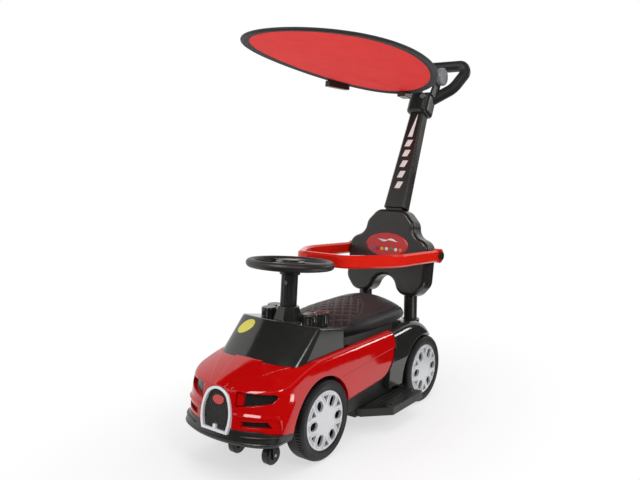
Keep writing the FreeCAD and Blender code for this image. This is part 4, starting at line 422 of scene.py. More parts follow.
# Nose ridges: one bead of the red shell on each side, in one moulding with it. It runs from the grille to the
# wing below the lamp, where it turns down round the end of the intake.
RIDGE_SECTION = ((4.8, -0.8), (-1.2, 3.4), (-2.6, 3.3), (-4.0, -0.8))
RIDGE_HEIGHT, RIDGE_FALL, RIDGE_DROP = 131.0, 3.0, 27.0
RIDGE_TURNS, RIDGE_BEND, RIDGE_STEPS, RIDGE_TAPER = (17.0, 53.0, 57.0), 0.76, 64, 2.4
NOSE_MIDDLE_Y, NOSE_REACH, END_SHARE = -250, 0.4, 0.08
nose_surface = surface("body_shell")


def met_from_outside(under, inside, turn):
    """Where a level ray to a place inside the nose, from a turn off its middle, meets a surface."""
    away = Vector((math.sin(turn), -math.cos(turn), 0))
    return under.ray_cast(inside + away * NOSE_REACH, -away)[:2]


def tapered(spots, sign, taper):
    """A run of places for strips along spots on a surface, thinner at both ends."""
    last = len(spots) - 1
    run = []
    for step, (spot, normal) in enumerate(spots):
        share = step / last
        ahead = spots[min(step + 1, last)][0] - spots[max(step - 1, 0)][0]
        grow = math.sin(math.pi * min(0.5, END_SHARE + taper * min(share, 1 - share)))
        run.append((spot, normal.cross(ahead).normalized() * sign, normal, grow))
    return run


for side, outward in (("left", 1), ("right", -1)):
    spots = []
    for step in range(RIDGE_STEPS + 1):
        share = step / RIDGE_STEPS
        along = min(share / RIDGE_BEND, 1.0)
        down = max(share - RIDGE_BEND, 0.0) / (1 - RIDGE_BEND) * math.pi / 2
        turn = math.radians(RIDGE_TURNS[0] + (RIDGE_TURNS[1] - RIDGE_TURNS[0]) * along
                            + (RIDGE_TURNS[2] - RIDGE_TURNS[1]) * math.sin(down))
        height = RIDGE_HEIGHT - RIDGE_FALL * along ** 2 - RIDGE_DROP * (1 - math.cos(down))
        spots.append(met_from_outside(nose_surface, car(0, NOSE_MIDDLE_Y, height), outward * turn))
    runs = [tapered(spots, outward, RIDGE_TAPER)]
    bead = settle(strips(f"nose_ridge_{side}", runs, RIDGE_SECTION), red_gloss, 30)
    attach(bead, "chassis")

# Lip blades: thin edges of the polished black lip, in one moulding with it, one along its foot and one on
# each side of the grille.
BLADE_SECTION = ((-2.4, -0.8), (2.4, -0.8), (2.0, 1.5), (0.8, 2.5), (-0.8, 2.5), (-2.0, 1.5))
# Each blade's runs: the height as a share of the lip's height, and the first and last turn in degrees
BLADE_RUNS = {"lower": ((0.24, -62, 62),), "upper": ((0.66, 24, 62), (0.66, -62, -24))}
BLADE_TURN, BLADE_TAPER = 2, 3.0
lip_surface = surface("front_lip")
lip_low, lip_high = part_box("front_lip")
for level, spans in BLADE_RUNS.items():
    runs = []
    for height, first, last in spans:
        inside = car(0, NOSE_MIDDLE_Y, 0)
        inside.z = lip_low.z + (lip_high.z - lip_low.z) * height
        found = [met_from_outside(lip_surface, inside, math.radians(turn))
                 for turn in range(first, last + 1, BLADE_TURN)]
        runs.append(tapered([spot for spot in found if spot[0] is not None], 1, BLADE_TAPER))
    blade = settle(strips(f"front_lip_blade_{level}", runs, BLADE_SECTION), smooth_pp, 60)
    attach(blade, "chassis")

# Windscreen cowl and rear shell: two mouldings of black ABS from a polished tool, screwed to the tub over the
# edges of the red shell.
# Polished black ABS: high gloss, nearly black, with a faint waviness in what it mirrors.
black_gloss = moulded("black_abs_polished", "242422", "2C2C29", 0.1, 30, 0.004, ior=1.54, peel_mm=0.025,
                      edge_mm=2.2)
dress(black_gloss, "windscreen_cowl", "rear_shell")


INK_DOT_MM, VINYL_PEEL_MM, VINYL_DEPTH_MM = 1.5, 9, 0.03


def printed(name, dark, pale, rough):
    """Printed vinyl film: an even ink with the speckle of its dots, and a skin with a slight orange peel."""
    material, tree, place = new_finish(name)
    dots = add(tree, "TexNoise", {"Vector": place, "Scale": 1000 / INK_DOT_MM})
    tone = add(tree, "Mix", {"Factor": dots.outputs["Fac"], DARK: srgb(dark), PALE: srgb(pale)},
               data_type="RGBA")
    peel = add(tree, "TexNoise", {"Vector": place, "Scale": 1000 / VINYL_PEEL_MM, "Detail": 1.0})
    relief = add(tree, "Bump", {"Height": peel.outputs["Fac"], "Distance": VINYL_DEPTH_MM / 1000})
    shader = add(tree, "BsdfPrincipled", {"Base Color": tone.outputs[TONE], "Roughness": rough, "IOR": 1.5,
                                          "Normal": relief})
    add(tree, "OutputMaterial", {"Surface": shader})
    return material


# Yellow vinyl film: a bright oval sticker in the corner of the screen, satin.
BADGE_CENTRE, BADGE_FACING = car(-59.4, -226.8, 247.0), (-0.172, -0.64, 0.749)
BADGE_WIDE, BADGE_HIGH, FILM_LIFT = 43, 32, 0.3
BADGE_LEAN = math.sqrt(0.5)  # the sine and the cosine of 45 degrees, by which the oval leans
yellow_film = printed("vinyl_film_yellow", "DDD24A", "E8DF5C", 0.3)
leaning_oval = [(u * BADGE_LEAN - v * BADGE_LEAN, u * BADGE_LEAN + v * BADGE_LEAN)
                for u, v in oval(BADGE_WIDE, BADGE_HIGH)]
laid("screen_sticker", surface("windscreen_cowl"), BADGE_CENTRE, BADGE_FACING, leaning_oval, FILM_LIFT,
     yellow_film)

# Steering wheel, column and horn: black moulded polypropylene. The wheel is screwed to a fluted column, whose
# shaft plugs into the boss of the cowl, and the smooth horn button sits in its hub.
dress(grained_pp, "steering_wheel", "steering_column")
dress(smooth_pp, "horn_button")

# Backrest: two half shells of moulded black polypropylene, screwed together on two legs that plug into the
# rear shell. Caps close the bolts of the guard rail.
dress(smooth_pp, "backrest_front_shell", "backrest_rear_shell", "backrest_legs", "rail_bolt_caps")
# Its sticker is red vinyl film, an even satin oval, with a pale wave and a row of coloured dots on it.
BACK_FACING, BACK_CENTRE = Vector((0, -0.987, 0.163)), car(0, 219.8, 367.6)
BACK_WIDE, BACK_HIGH, PRINT_LIFT = 120, 58, 0.5
back_surface = surface("backrest_front_shell")
red_film = printed("vinyl_film_red", "BE2A2C", "C93436", 0.32)
laid("backrest_sticker", back_surface, BACK_CENTRE, BACK_FACING, oval(BACK_WIDE, BACK_HIGH), FILM_LIFT,
     red_film)
back_up = BACK_FACING.cross(Vector((1, 0, 0)))
WAVE_HALF, WAVE_RISE, WAVE_THICK, WAVE_CURL, WAVE_UP, WAVE_STEPS = 31.0, 3.4, 2.2, 7, 11.0, 24
wave = []
for way in (1, -1):
    for k in range(WAVE_STEPS + 1):
        x = way * WAVE_HALF * (2 * k / WAVE_STEPS - 1)
        thick = WAVE_THICK / 2 * (1 - (x / WAVE_HALF) ** 2)
        wave.append((x, WAVE_RISE * math.sin(x / WAVE_CURL) + way * thick))
# White vinyl film: an even, slightly warm white, satin.
pale_film = printed("vinyl_film_white", "F0F0EE", "FAFAF8", 0.32)
laid("backrest_sticker_wave", back_surface, BACK_CENTRE + back_up * (WAVE_UP / 1000), BACK_FACING, wave,
     PRINT_LIFT, pale_film, rings=3)
INKS = (("blue", "2F58A8", "3A66B8"), ("red", "8E1216", "9A1A1E"), ("yellow", "E0B420", "EAC030"),
        ("white", "E4E4E2", "F0F0EE"), ("green", "2E7F45", "3A8C50"), ("white", "E4E4E2", "F0F0EE"),
        ("amber", "D9851C", "E4922A"))
DOT_PITCH, DOT_DROP, DOT_SIZE, DOT_POINTS = 13.0, 11.0, 8.5, 20
dot_outline = oval(DOT_SIZE, DOT_SIZE, DOT_POINTS)
for k, (ink, dark, pale) in enumerate(INKS):
    along = (k - len(INKS) // 2) * DOT_PITCH
    spot = BACK_CENTRE - back_up * (DOT_DROP / 1000) + Vector((along / 1000, 0, 0))
    laid(f"backrest_sticker_dot_{k}", back_surface, spot, BACK_FACING, dot_outline, PRINT_LIFT,
         printed(f"vinyl_ink_{ink}_{k}", dark, pale, 0.32), rings=2)

# Guard rail: one bar of self-coloured red polypropylene, moulded in its bent shape and bolted to the backrest
# on both sides, so that it lifts up and back.
# Polished red PP: a warmer red than the shell, with a softer gloss.
rail_red = moulded("red_pp_polished", "D8180B", "E4220F", 0.16, 30, 0.006, ior=1.49, peel_mm=0.04)
dress(rail_red, "guard_rail")

# Push pole, collar, handle loop, canopy bracket and arm, and tilt knob: mouldings of black polypropylene and
# grey ABS. The pole plugs into the backrest, and the rest is bolted and pinned to it.
dress(smooth_pp, "push_pole", "handle_collar", "canopy_bracket", "canopy_arm", "canopy_hoop_clip")
dress(grained_pp, "handle_loop")
# White film on the front of the pole: a long wedge with five slanted bars below it.
pole_surface = surface("push_pole")
POLE_FACING = Vector((0, -0.91, 0.414))
POLE_LOW, POLE_HIGH = car(0, 252, 462), car(0, 352, 690)
WEDGE_SHARES, BAR_SHARES = (0.74, 0.99), (0.67, 0.56, 0.445, 0.33, 0.215)
BAR_WIDE, BAR_HIGH, BAR_SLANT = 15.0, 18.0, 3.0
wedge_long = (POLE_HIGH - POLE_LOW).length * 1000 * (WEDGE_SHARES[1] - WEDGE_SHARES[0])
# The wedge's outline: places across the pole in mm, and along it as sixths of the wedge's length
WEDGE_OUTLINE = ((-7.0, -3), (0.0, -3), (6.0, -3), (6.4, -1), (7.0, 1), (7.6, 3), (6.6, 3), (2.0, 1),
                 (-2.5, -1))
wedge = [(across, wedge_long * sixths / 6) for across, sixths in WEDGE_OUTLINE]
laid("pole_sticker_wedge", pole_surface, POLE_LOW.lerp(POLE_HIGH, sum(WEDGE_SHARES) / 2), POLE_FACING, wedge,
     FILM_LIFT, pale_film, rings=4)
bar = [(-BAR_WIDE / 2 - BAR_SLANT, -BAR_HIGH / 2), (BAR_WIDE / 2 - BAR_SLANT, -BAR_HIGH / 2),
       (BAR_WIDE / 2 + BAR_SLANT, BAR_HIGH / 2), (-BAR_WIDE / 2 + BAR_SLANT, BAR_HIGH / 2)]
for k, share in enumerate(BAR_SHARES):
    laid(f"pole_sticker_bar_{k}", pole_surface, POLE_LOW.lerp(POLE_HIGH, share), POLE_FACING, bar, FILM_LIFT,
         pale_film, rings=4)
# Grey ABS: paler than the rest, plain, with a small clear highlight.
grey_abs = moulded("grey_abs_moulded", "6C6E72", "7C7E82", 0.18, 2.0, 0.01)
dress(grey_abs, "tilt_knob")

# Seat lid: a plain plate of moulded black polypropylene under the pad. It turns on a steel pin behind the
# dash and closes the storage bin.
dress(grained_pp, "seat_lid")


# Seat pad: foam under a quilted leatherette cover, stapled to the lid. The middle is sewn in diamonds, the
# sides and the rear are plain bolsters, and a sewn seam divides the brown top from the black side.
def eased(stations, values, share):
    """A smooth line through values at their stations."""
    last = len(stations) - 1
    i = max(n for n in range(last) if share >= stations[n] or n == 0)
    left, right = stations[i], stations[i + 1]
    slopes = []
    for n in (i, i + 1):
        a, b = max(n - 1, 0), min(n + 1, last)
        slopes.append((values[b] - values[a]) / (stations[b] - stations[a]) * (right - left))
    t = (share - left) / (right - left)
    return (values[i] * (1 + 2 * t) * (1 - t) ** 2 + slopes[0] * t * (1 - t) ** 2
            + values[i + 1] * t * t * (3 - 2 * t) + slopes[1] * t * t * (t - 1))


PAD_FRONT, PAD_REAR, PAD_FLOOR = -99.6, 181.6, 214.2
PAD_STATIONS = (0.0, 0.2, 0.55, 0.8, 0.93, 1.0)
PAD_HALVES = (61.4, 89.3, 96.0, 94.1, 82.6, 63.4)
PAD_SIDES = (12.6, 17.1, 18.0, 17.1, 13.5, 8.1)
PAD_CROWNS = (42.1, 49.0, 49.0, 47.0, 35.3, 20.1)
PAD_ROUND, ROUND_SHARE, CORNER_ROUND, CORNER_SHARE, PAD_TUCK = 11.0, 0.7, 16.0, 0.6, 1.2
PANEL_HALF, PANEL_REACH, PANEL_POWER = 84.0, 172.0, 1.6
DIAMOND_WIDE, DIAMOND_LONG = 20.0, 30.0
SEAM_DEPTH, SEAM_WIDTH, SEAM_FADE, EDGE_SHARE = 1.9, 2.6, 8, 0.8
SEAM_SHARE, SIDE_SEAM_DEPTH, SIDE_SEAM_WIDTH = 0.86, 1.3, 1.6


def panel_half(y):
    """Half the width of the quilted panel at a place along the seat."""
    share = (y - PAD_FRONT) / PANEL_REACH
    return PANEL_HALF * math.sqrt(max(0.0, 1 - max(share, 0.0) ** PANEL_POWER))


def pad_half(y):
    """Half the width of the pad at a place along the seat."""
    return eased(PAD_STATIONS, PAD_HALVES, (y - PAD_FRONT) / (PAD_REAR - PAD_FRONT))


def quarter_round(inside, radius):
    """How far a round edge has fallen, as a share of its radius, at a distance in from it."""
    turn = 1 - max(inside, 0.0) / radius
    return 1 - math.sqrt(max(0.0, 1 - turn * turn))


def sewn_line_gap(x, y):
    """How far a place on the seat is from the nearest sewn line of the quilted panel."""
    edge = panel_half(y) - abs(x)
    lines = [abs(edge) * EDGE_SHARE]
    if edge > 0:
        across = 1 / math.hypot(1 / DIAMOND_WIDE, 1 / DIAMOND_LONG)
        for sign in (1, -1):
            count = x / DIAMOND_WIDE + sign * y / DIAMOND_LONG
            lines.append(abs(count - round(count)) * across)
    return min(lines)


def pad_top(x, y, half):
    """Height of the pad's cover over its lid."""
    share = (y - PAD_FRONT) / (PAD_REAR - PAD_FRONT)
    side, crown = eased(PAD_STATIONS, PAD_SIDES, share), eased(PAD_STATIONS, PAD_CROWNS, share)
    over = min(abs(x) / max(half, 1.0), 1.0)
    height = side + (crown - side) * (1 - over * over)
    inside = min(half - abs(x), y - PAD_FRONT, PAD_REAR - y)
    if inside < PAD_ROUND:
        height -= quarter_round(inside, PAD_ROUND) * min(PAD_ROUND, height * ROUND_SHARE)
    gap = sewn_line_gap(x, y)
    height -= SEAM_DEPTH * math.exp(-(gap / SEAM_WIDTH) ** 2) * min(1.0, max(inside, 0.0) / SEAM_FADE)
    gap = abs(over - SEAM_SHARE) * half
    return height - SIDE_SEAM_DEPTH * math.exp(-(gap / SIDE_SEAM_WIDTH) ** 2)


ROWS, COLUMNS, EDGE_CROWD = 150, 100, 0.35  # the columns crowd a little towards the edges
grid = []
for i in range(ROWS + 1):
    y = PAD_FRONT + (PAD_REAR - PAD_FRONT) * i / ROWS
    half = eased(PAD_STATIONS, PAD_HALVES, i / ROWS)
    near_end = min(y - PAD_FRONT, PAD_REAR - y)
    if near_end < CORNER_ROUND:
        half -= CORNER_ROUND * CORNER_SHARE * quarter_round(near_end, CORNER_ROUND)
    row = [car(-half + PAD_TUCK, y, PAD_FLOOR)]
    for j in range(COLUMNS + 1):
        t = 2 * j / COLUMNS - 1
        x = half * math.sin(t * math.pi / 2) * EDGE_CROWD + half * t * (1 - EDGE_CROWD)
        row.append(car(x, y, PAD_FLOOR + pad_top(x, y, half)))
    row.append(car(half - PAD_TUCK, y, PAD_FLOOR))
    grid.append(row)
pad_shape = skin("seat_pad_quilted", grid, False, True)


def close_ends(work):
    """Fill the open front and rear of the pad."""
    bmesh.ops.holes_fill(work, edges=[edge for edge in work.edges if edge.is_boundary])


reworked(pad_shape, close_ends)
WORN_MM, CREASE_DEPTH_MM = 45, 0.12


def leatherette(name, dark, pale, rough, pebble_mm):
    """Vinyl-coated cloth, embossed like leather: pebbles, creases darkened with painted shade, and a soft
    sheen.
    """
    material, tree, place = new_finish(name)
    pebble = add(tree, "TexVoronoi", {"Vector": place, "Scale": 1000 / pebble_mm}, feature="DISTANCE_TO_EDGE")
    crease = add(tree, "MapRange", {"Value": pebble.outputs["Distance"], "From Max": 0.12})
    worn = add(tree, "TexNoise", {"Vector": place, "Scale": 1000 / WORN_MM, "Detail": 4.0})
    # Random mottle times the crease mask: the creases between the pebbles are painted darker, as painted
    # shade.
    mottle_and_crease_shade = add(tree, "Math", {0: worn.outputs["Fac"], 1: crease}, operation="MULTIPLY")
    tone = add(tree, "Mix", {"Factor": mottle_and_crease_shade, DARK: srgb(dark), PALE: srgb(pale)}, data_type="RGBA")
    polish = add(tree, "MapRange", {"Value": worn.outputs["Fac"], "To Min": rough * 0.8,
                                    "To Max": rough * 1.2})
    relief = add(tree, "Bump", {"Height": crease, "Distance": CREASE_DEPTH_MM / 1000, "Strength": 0.8})
    shader = add(tree, "BsdfPrincipled", {"Base Color": tone.outputs[TONE], "Roughness": polish,
                                          "IOR": 1.5, "Sheen Weight": 0.08, "Normal": relief})
    add(tree, "OutputMaterial", {"Surface": shader})
    return material


# Brown and black PVC leatherette: satin, its pebbles 1.4 mm wide, with painted shade in the creases between
# them.
brown_cover = leatherette("pvc_leatherette_brown", "1E1213", "3A2728", 0.4, 1.4)
black_cover = leatherette("pvc_leatherette_black", "101010", "1E1E1E", 0.38, 1.4)
settle(pad_shape, brown_cover, 60)
pad_shape.data.materials.append(black_cover)
for face in pad_shape.data.polygons:
    half = pad_half(face.center.y * 1000 + MIDDLE_Y)
    face.material_index = int(abs(face.center.x * 1000) > half * SEAM_SHARE or face.normal.z < 0)
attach(pad_shape, "seat")
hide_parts("seat_pad")

# The quilting thread: short pale stitches, sunk at both ends, along every line of the diamonds.
STITCH_PITCH, STITCH_LONG, STITCH_LIFT, STITCH_GROWS = 5.0, 3.8, 0.9, (0.5, 1.0, 0.5)
STITCH_LINES, STITCHES_ALONG, STITCH_START, STITCH_INSET = 16, 60, 4, 3
THREAD_RADIUS = 0.6
THREAD_SECTION = [(THREAD_RADIUS * math.cos(math.radians(a)), THREAD_RADIUS * math.sin(math.radians(a)))
                  for a in range(0, 360, 60)]


def stitch(places, across, up, section_scale=1.0):
    """One stitch through three places: thin and sunk at its ends, full in the middle."""
    return [(place, across, up, grow * section_scale) for place, grow in zip(places, STITCH_GROWS)]


diagonal = math.hypot(DIAMOND_WIDE, DIAMOND_LONG)
stitches = []
for sign in (1, -1):
    along = Vector((DIAMOND_WIDE, -sign * DIAMOND_LONG, 0)) / diagonal
    across = Vector((along.y, -along.x, 0))
    for n in range(-STITCH_LINES, STITCH_LINES + 1):
        for k in range(-STITCHES_ALONG, STITCHES_ALONG + 1):
            x, y = (Vector((n * DIAMOND_WIDE, 0, 0)) + along * (k * STITCH_PITCH)).xy
            if not PAD_FRONT + STITCH_START < y < PAD_FRONT + PANEL_REACH:
                continue
            if panel_half(y) - abs(x) < STITCH_INSET:
                continue
            half = pad_half(y)
            places = []
            for step, lift in ((-0.5, 0.0), (0.0, STITCH_LIFT), (0.5, 0.0)):
                px, py = x + along.x * STITCH_LONG * step, y + along.y * STITCH_LONG * step
                places.append(car(px, py, PAD_FLOOR + pad_top(px, py, half) + lift))
            stitches.append(stitch(places, across, Vector((0, 0, 1))))


WAVE_PERIOD = math.pi / 10  # the distance between the bands of a wave texture with a scale of 1
TWIST_MM, TWIST_DEPTH_MM = 1, 0.1


def spun(name, dark, pale):
    """Twisted sewing thread: two plies whose twist shows as fine slanting bands."""
    material, tree, place = new_finish(name)
    twist = add(tree, "TexWave", {"Vector": place, "Scale": WAVE_PERIOD * 1000 / TWIST_MM, "Distortion": 1.0},
                bands_direction="DIAGONAL")
    tone = add(tree, "Mix", {"Factor": twist.outputs["Fac"], DARK: srgb(dark), PALE: srgb(pale)},
               data_type="RGBA")
    relief = add(tree, "Bump", {"Height": twist.outputs["Fac"], "Distance": TWIST_DEPTH_MM / 1000,
                                "Strength": 0.8})
    shader = add(tree, "BsdfPrincipled", {"Base Color": tone.outputs[TONE], "Roughness": 0.65, "IOR": 1.5,
                                          "Sheen Weight": 0.2, "Normal": relief})
    add(tree, "OutputMaterial", {"Surface": shader})
    return material


# Brown polyester thread: paler than the cover, matt.
brown_thread = spun("polyester_thread_brown", "6C5A57", "8A7773")
quilting = settle(strips("seat_pad_stitches", stitches, THREAD_SECTION), brown_thread, 60)
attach(quilting, "seat")


# Canopy: red woven polyester stretched in a spring steel hoop, with a black tape folded over the hoop and
# sewn through. It hangs on the arm by the clamp at its rear, from where a few faint folds run into the cloth.
CANOPY_Y, CANOPY_HEIGHT, CANOPY_LEAN_DEG = 35, 788, -8.6
CANOPY_PLACE = (Matrix.Translation(car(0, CANOPY_Y, CANOPY_HEIGHT))
                @ Matrix.Rotation(math.radians(CANOPY_LEAN_DEG), 4, "X"))
HALF_WIDE, HALF_LONG, SADDLE, SPREAD = 176.0, 274.0, 10.0, 1.1
BINDING_WIDE, TAPE_OVERLAP, CLAMP_Y = 18.0, 7, 262.0
FOLDS, FOLD_DEPTH, FOLD_PHASE, FOLD_REACH, FOLD_FADE, FOLD_EDGE_POWER = 9, 1.5, 0.6, 60, 95, 6
SLACK_DEPTH, SLACK_WIDE, SLACK_LONG, SLACK_LAYER = 0.9, 140, 160, 3.0


def canopy_point(x, y, lift):
    """A place on the canopy's saddle, in mm across and along it, lifted square to it."""
    bow = SADDLE * ((x / (HALF_WIDE * SPREAD)) ** 2 - (y / (HALF_LONG * SPREAD)) ** 2)
    return CANOPY_PLACE @ (Vector((x, y, bow + lift)) / 1000)


def fold(x, y):
    """Small ripples that fan out from the clamp and die away over the cloth."""
    away = math.hypot(x, CLAMP_Y - y)
    turn = math.atan2(x, CLAMP_Y - y)
    swell = math.exp(-((away - FOLD_REACH) / FOLD_FADE) ** 2)
    slack = noise.noise(Vector((x / SLACK_WIDE, y / SLACK_LONG, SLACK_LAYER)))
    ripple = FOLD_DEPTH * swell * math.cos(turn * FOLDS + FOLD_PHASE) * math.cos(turn) ** 2
    return ripple + SLACK_DEPTH * slack


RINGS, AROUND, INNER_RING = 44, 160, 0.02
cloth_inset = BINDING_WIDE - TAPE_OVERLAP
rows = []
for i in range(RINGS + 1):
    share = (i + INNER_RING) / (RINGS + INNER_RING)
    row = []
    for j in range(AROUND):
        turn = 2 * math.pi * j / AROUND
        x = (HALF_WIDE - cloth_inset) * share * math.cos(turn)
        y = (HALF_LONG - cloth_inset) * share * math.sin(turn)
        row.append(canopy_point(x, y, fold(x, y) * (1 - share ** FOLD_EDGE_POWER)))
    rows.append(row)
cloth = skin("canopy_cloth_woven", rows, False, True)


def close_middle(work):
    """Draw the innermost ring of the cloth together in one point."""
    work.verts.ensure_lookup_table()
    bmesh.ops.pointmerge(work, verts=work.verts[:AROUND], merge_co=canopy_point(0, 0, fold(0, 0)))


reworked(cloth, close_middle)
SLUB_MM, WEAVE_DEPTH_MM = 30, 0.15


def woven(name, dark, pale, rough, thread_mm, sheen, through):
    """Woven cloth: threads that cross each other, uneven in tone, with a soft sheen and light through it."""
    material, tree, place = new_finish(name)
    pitch = WAVE_PERIOD * 1000 / thread_mm
    warp = add(tree, "TexWave", {"Vector": place, "Scale": pitch, "Distortion": 0.4}, bands_direction="X")
    weft = add(tree, "TexWave", {"Vector": place, "Scale": pitch, "Distortion": 0.4}, bands_direction="Y")
    cross = add(tree, "Math", {0: warp.outputs["Fac"], 1: weft.outputs["Fac"]}, operation="ADD")
    slub = add(tree, "TexNoise", {"Vector": place, "Scale": 1000 / SLUB_MM, "Detail": 5.0})
    blend = add(tree, "Math", {0: cross, 1: slub.outputs["Fac"]}, operation="MULTIPLY")
    tone = add(tree, "Mix", {"Factor": blend, DARK: srgb(dark), PALE: srgb(pale)}, data_type="RGBA")
    relief = add(tree, "Bump", {"Height": cross, "Distance": WEAVE_DEPTH_MM / 1000, "Strength": 0.7})
    shader = add(tree, "BsdfPrincipled", {"Base Color": tone.outputs[TONE], "Roughness": rough, "IOR": 1.5,
                                          "Sheen Weight": sheen, "Sheen Roughness": 0.4, "Normal": relief})
    lit = add(tree, "BsdfTranslucent", {"Color": tone.outputs[TONE], "Normal": relief})
    both = add(tree, "MixShader", {"Fac": through, 1: shader, 2: lit})
    add(tree, "OutputMaterial", {"Surface": both})
    return material


# Red polyester weave: dull, even red that glows against the light. The real threads are 0.4 mm apart and are
# drawn 1.6 mm apart to show.
CLOTH_THICK = 0.9
red_weave = woven("polyester_woven_red", "E63F3C", "F05A56", 0.7, 1.6, 0.2, 0.55)
settle(cloth, red_weave, 80)
thicken(cloth, CLOTH_THICK, 0.0)
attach(cloth, "canopy")
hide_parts("canopy_cloth")

HOOP_RADIUS, TAPE_HALF, TAPE_STEPS = 3.3, 0.9, 240
PUCKERS, PUCKER_DEPTH, PUCKER_FROM = 88, 0.25, 6
# The tape's section, from the outer rim inward: distance in from the rim and height, in mm
section = [(HOOP_RADIUS - HOOP_RADIUS * math.cos(math.radians(a)), HOOP_RADIUS * math.sin(math.radians(a)))
           for a in range(-120, 121, 20)]
section += [(8.5, TAPE_HALF + 0.7), (13.0, TAPE_HALF + 0.25), (17.0, TAPE_HALF), (BINDING_WIDE, 0.5),
            (BINDING_WIDE, -0.5), (17.0, -TAPE_HALF), (13.0, -TAPE_HALF - 0.25), (8.5, -TAPE_HALF - 0.7)]
rows = []
for j in range(TAPE_STEPS):
    turn = 2 * math.pi * j / TAPE_STEPS
    pucker = PUCKER_DEPTH * math.sin(turn * PUCKERS)
    rows.append([canopy_point((HALF_WIDE - inward) * math.cos(turn), (HALF_LONG - inward) * math.sin(turn),
                              lift + pucker * (inward > PUCKER_FROM)) for inward, lift in section])
tape = skin("canopy_binding_tape", rows, True, True)
# Black polyester tape: matt, dark, its rib drawn at 1.4 mm.
black_tape = woven("polyester_tape_black", "1A1A1A", "2A2A2A", 0.75, 1.4, 0.15, 0.0)
settle(tape, black_tape, 60)
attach(tape, "canopy")
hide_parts("canopy_binding")
# Two rows of stitches, one on each face, hold the tape through the cloth.
SEWN_INWARD, SEWN_STITCHES, SEWN_LIFT, SEWN_SCALE = 14.5, 250, 0.3, 0.8
# The two ends and the middle of a stitch: its place as a share of the pitch, and its height in mm
SEWN_STEPS = ((-0.33, 0.1), (0.0, 0.6), (0.33, 0.1))
up = CANOPY_PLACE.to_3x3() @ Vector((0, 0, 1))
seams = []
for face in (1, -1):
    for n in range(SEWN_STITCHES):
        places = []
        for step, lift in SEWN_STEPS:
            turn = 2 * math.pi * (n + step) / SEWN_STITCHES
            places.append(canopy_point((HALF_WIDE - SEWN_INWARD) * math.cos(turn),
                                       (HALF_LONG - SEWN_INWARD) * math.sin(turn),
                                       face * (TAPE_HALF + SEWN_LIFT + lift)))
        along = (places[2] - places[0]).normalized()
        seams.append(stitch(places, along.cross(up), up, SEWN_SCALE))
# Black polyester thread: a shade paler than the tape, matt.
black_thread = spun("polyester_thread_black", "202020", "343434")
sewing = settle(strips("canopy_binding_stitches", seams, THREAD_SECTION), black_thread, 60)
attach(sewing, "canopy")


# Studio: a paper floor that fades to white in a white room, one large soft box overhead, two small ones at
# the front and the side, and black and lit cards, which give the gloss its dark and bright shapes.
AMBIENT = 0.62
scene = bpy.context.scene
scene.view_settings.view_transform = "Standard"
room = bpy.data.worlds.new("white_room")
scene.world = room
room.use_nodes = True
tree = room.node_tree
tree.nodes.clear()


def seen_directly(tree):
    """1 for rays from the camera, from gloss or through glass, and 0 for the light that falls on things."""
    path = add(tree, "LightPath").outputs
    gloss = add(tree, "Math", {0: path["Is Camera Ray"], 1: path["Is Glossy Ray"]}, operation="MAXIMUM")
    return add(tree, "Math", {0: gloss, 1: path["Is Transmission Ray"]}, operation="MAXIMUM")


level = add(tree, "MapRange", {"Value": seen_directly(tree), "To Min": AMBIENT, "To Max": 1.0})
sky = add(tree, "Background", {"Color": (1, 1, 1, 1), "Strength": level})
add(tree, "OutputWorld", {"Surface": sky})

FLOOR_HALF = 12.0
# The shadow shows within an oval on the floor, in metres: its middle, its half width and its half length
SHADOW_Y, SHADOW_HALF_WIDE, SHADOW_HALF_LONG = 0.15, 0.32, 0.58
floor = skin("studio_floor", [[(-FLOOR_HALF, -FLOOR_HALF, 0), (FLOOR_HALF, -FLOOR_HALF, 0)],
                              [(-FLOOR_HALF, FLOOR_HALF, 0), (FLOOR_HALF, FLOOR_HALF, 0)]])
paper, tree, place = new_finish("white_paper_floor")
around = add(tree, "Mapping", {"Vector": place, "Location": (0, SHADOW_Y, 0),
                               "Scale": (1 / SHADOW_HALF_WIDE, 1 / SHADOW_HALF_LONG, 0)})
away = add(tree, "VectorMath", {0: around}, operation="LENGTH")
fade = add(tree, "MapRange", {"Value": away.outputs["Value"], "From Min": 0.6, "From Max": 1.6,
                              "To Min": 0.62}, interpolation_type="SMOOTHSTEP")
glow = add(tree, "Math", {0: fade, 1: seen_directly(tree)}, operation="MULTIPLY")
sheet_paper = add(tree, "BsdfDiffuse", {"Color": srgb("F7F7F7")})
white = add(tree, "Emission")
mixed = add(tree, "MixShader", {"Fac": glow, 1: sheet_paper, 2: white})
add(tree, "OutputMaterial", {"Surface": mixed})
floor.data.materials.append(paper)

# Black cards: velvet that stands, lies and hangs round the object. They show in the gloss alone.
NAP_MM = 5
velvet, tree, place = new_finish("black_velvet_card")
nap = add(tree, "TexNoise", {"Vector": place, "Scale": 1000 / NAP_MM})
tone = add(tree, "Mix", {"Factor": nap.outputs["Fac"], DARK: srgb("080808"), PALE: srgb("101010")},
           data_type="RGBA")
pile = add(tree, "BsdfDiffuse", {"Color": tone.outputs[TONE]})
add(tree, "OutputMaterial", {"Surface": pile})


def hang_card(name, edges, finish):
    """A card of the studio that shows in gloss alone and throws no shadow."""
    card = skin(name, edges)
    card.data.materials.append(finish)
    card.visible_camera = card.visible_diffuse = card.visible_shadow = card.visible_transmission = False


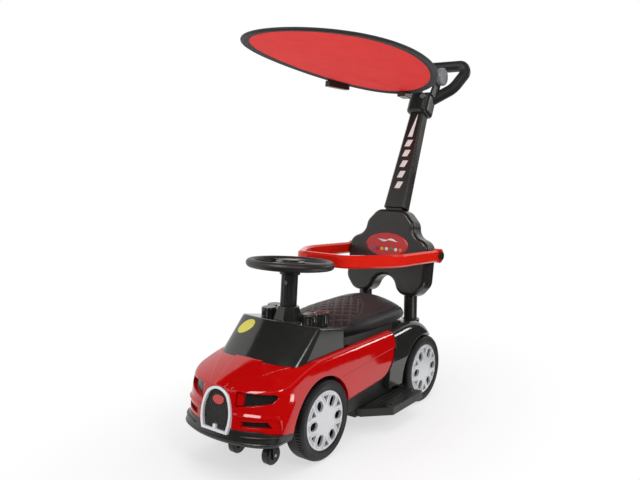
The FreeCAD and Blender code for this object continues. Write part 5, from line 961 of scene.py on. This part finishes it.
# Each card: the turns that it covers in degrees, and the reach and height of its two edges in metres
CARDS_Y = -0.1
CARDS = {"standing_card": (range(-112, 76, 11), (3.0, 0.0), (3.0, 2.6)),
         "front_lying_card": (range(-112, 10, 11), (0.39, 0.002), (3.0, 0.002)),
         "side_lying_card": (range(9, 50, 10), (1.0, 0.002), (3.0, 0.002)),
         "rear_lying_card": (range(49, 80, 10), (0.56, 0.002), (3.0, 0.002)),
         "ceiling_card": (range(0, 361, 12), (0.02, 2.6), (2.4, 2.6))}
for card_name, (turns, *rims) in CARDS.items():
    hang_card(card_name, [[(reach * math.cos(math.radians(turn)),
                            reach * math.sin(math.radians(turn)) + CARDS_Y, height) for turn in turns]
                          for reach, height in rims], velvet)

# Lit cards: bright white panels, one on the floor beside the object and one high up in front of it. They show
# as the sharp patch of light on the wing and as the lines of light on the edges of the nose.
LIT_LEVEL = 11.0
LIT_CARDS = {"lying_lit_card": (((1.18, -0.03, 0.004), (0.72, 0.07, 0.004)),
                                ((0.84, -0.15, 0.004), (0.52, -0.05, 0.004))),
             "front_lit_card": (((-0.3, -2.3, 1.6), (0.5, -2.3, 1.6)),
                                ((-0.3, -1.3, 2.2), (0.5, -1.3, 2.2)))}
panel, tree, place = new_finish("white_lit_card")
add(tree, "OutputMaterial", {"Surface": add(tree, "Emission", {"Strength": LIT_LEVEL})})
for card_name, edges in LIT_CARDS.items():
    hang_card(card_name, edges, panel)

# Soft boxes: each one's place and aim in metres, its width and height in metres, and its power in watts
SOFT_BOXES = {"overhead_box": ((0.3, -0.4, 3.0), (0, 0, 0.3), 2.4, 2.4, 26),
              "front_box": ((1.9, -1.1, 1.7), (0, -0.2, 0.3), 0.45, 0.8, 13),
              "side_box": ((1.33, 1.94, 0.98), (0, 0, 0.2), 0.3, 0.5, 6)}
for box_name, (place, aim, width, height, watts) in SOFT_BOXES.items():
    lamp = bpy.data.lights.new(box_name, "AREA")
    lamp.shape = "RECTANGLE"
    lamp.size, lamp.size_y, lamp.energy = width, height, watts
    held = bpy.data.objects.new(box_name, lamp)
    held.location = place
    held.rotation_euler = (Vector(aim) - Vector(place)).to_track_quat("-Z", "Y").to_euler()
    bpy.context.collection.objects.link(held)

# Camera: its place, its turn and its focal length are those of the photograph, which is 640 pixels wide.
CAMERA_PLACE, CAMERA_TURN_DEG, CAMERA_DOWN_DEG = (0.8762, -1.29625, 0.6083), 36.7, 7.75
FOCAL_PIXELS, PHOTO_PIXELS, SENSOR_MM = 692.1, 640, 36.0
camera = bpy.data.cameras.new("photo_camera")
camera.sensor_width = SENSOR_MM
camera.lens = SENSOR_MM * FOCAL_PIXELS / PHOTO_PIXELS
photographer = bpy.data.objects.new("photo_camera", camera)
photographer.location = CAMERA_PLACE
photographer.rotation_euler = (math.radians(90 - CAMERA_DOWN_DEG), 0, math.radians(CAMERA_TURN_DEG))
bpy.context.collection.objects.link(photographer)
scene.camera = photographer
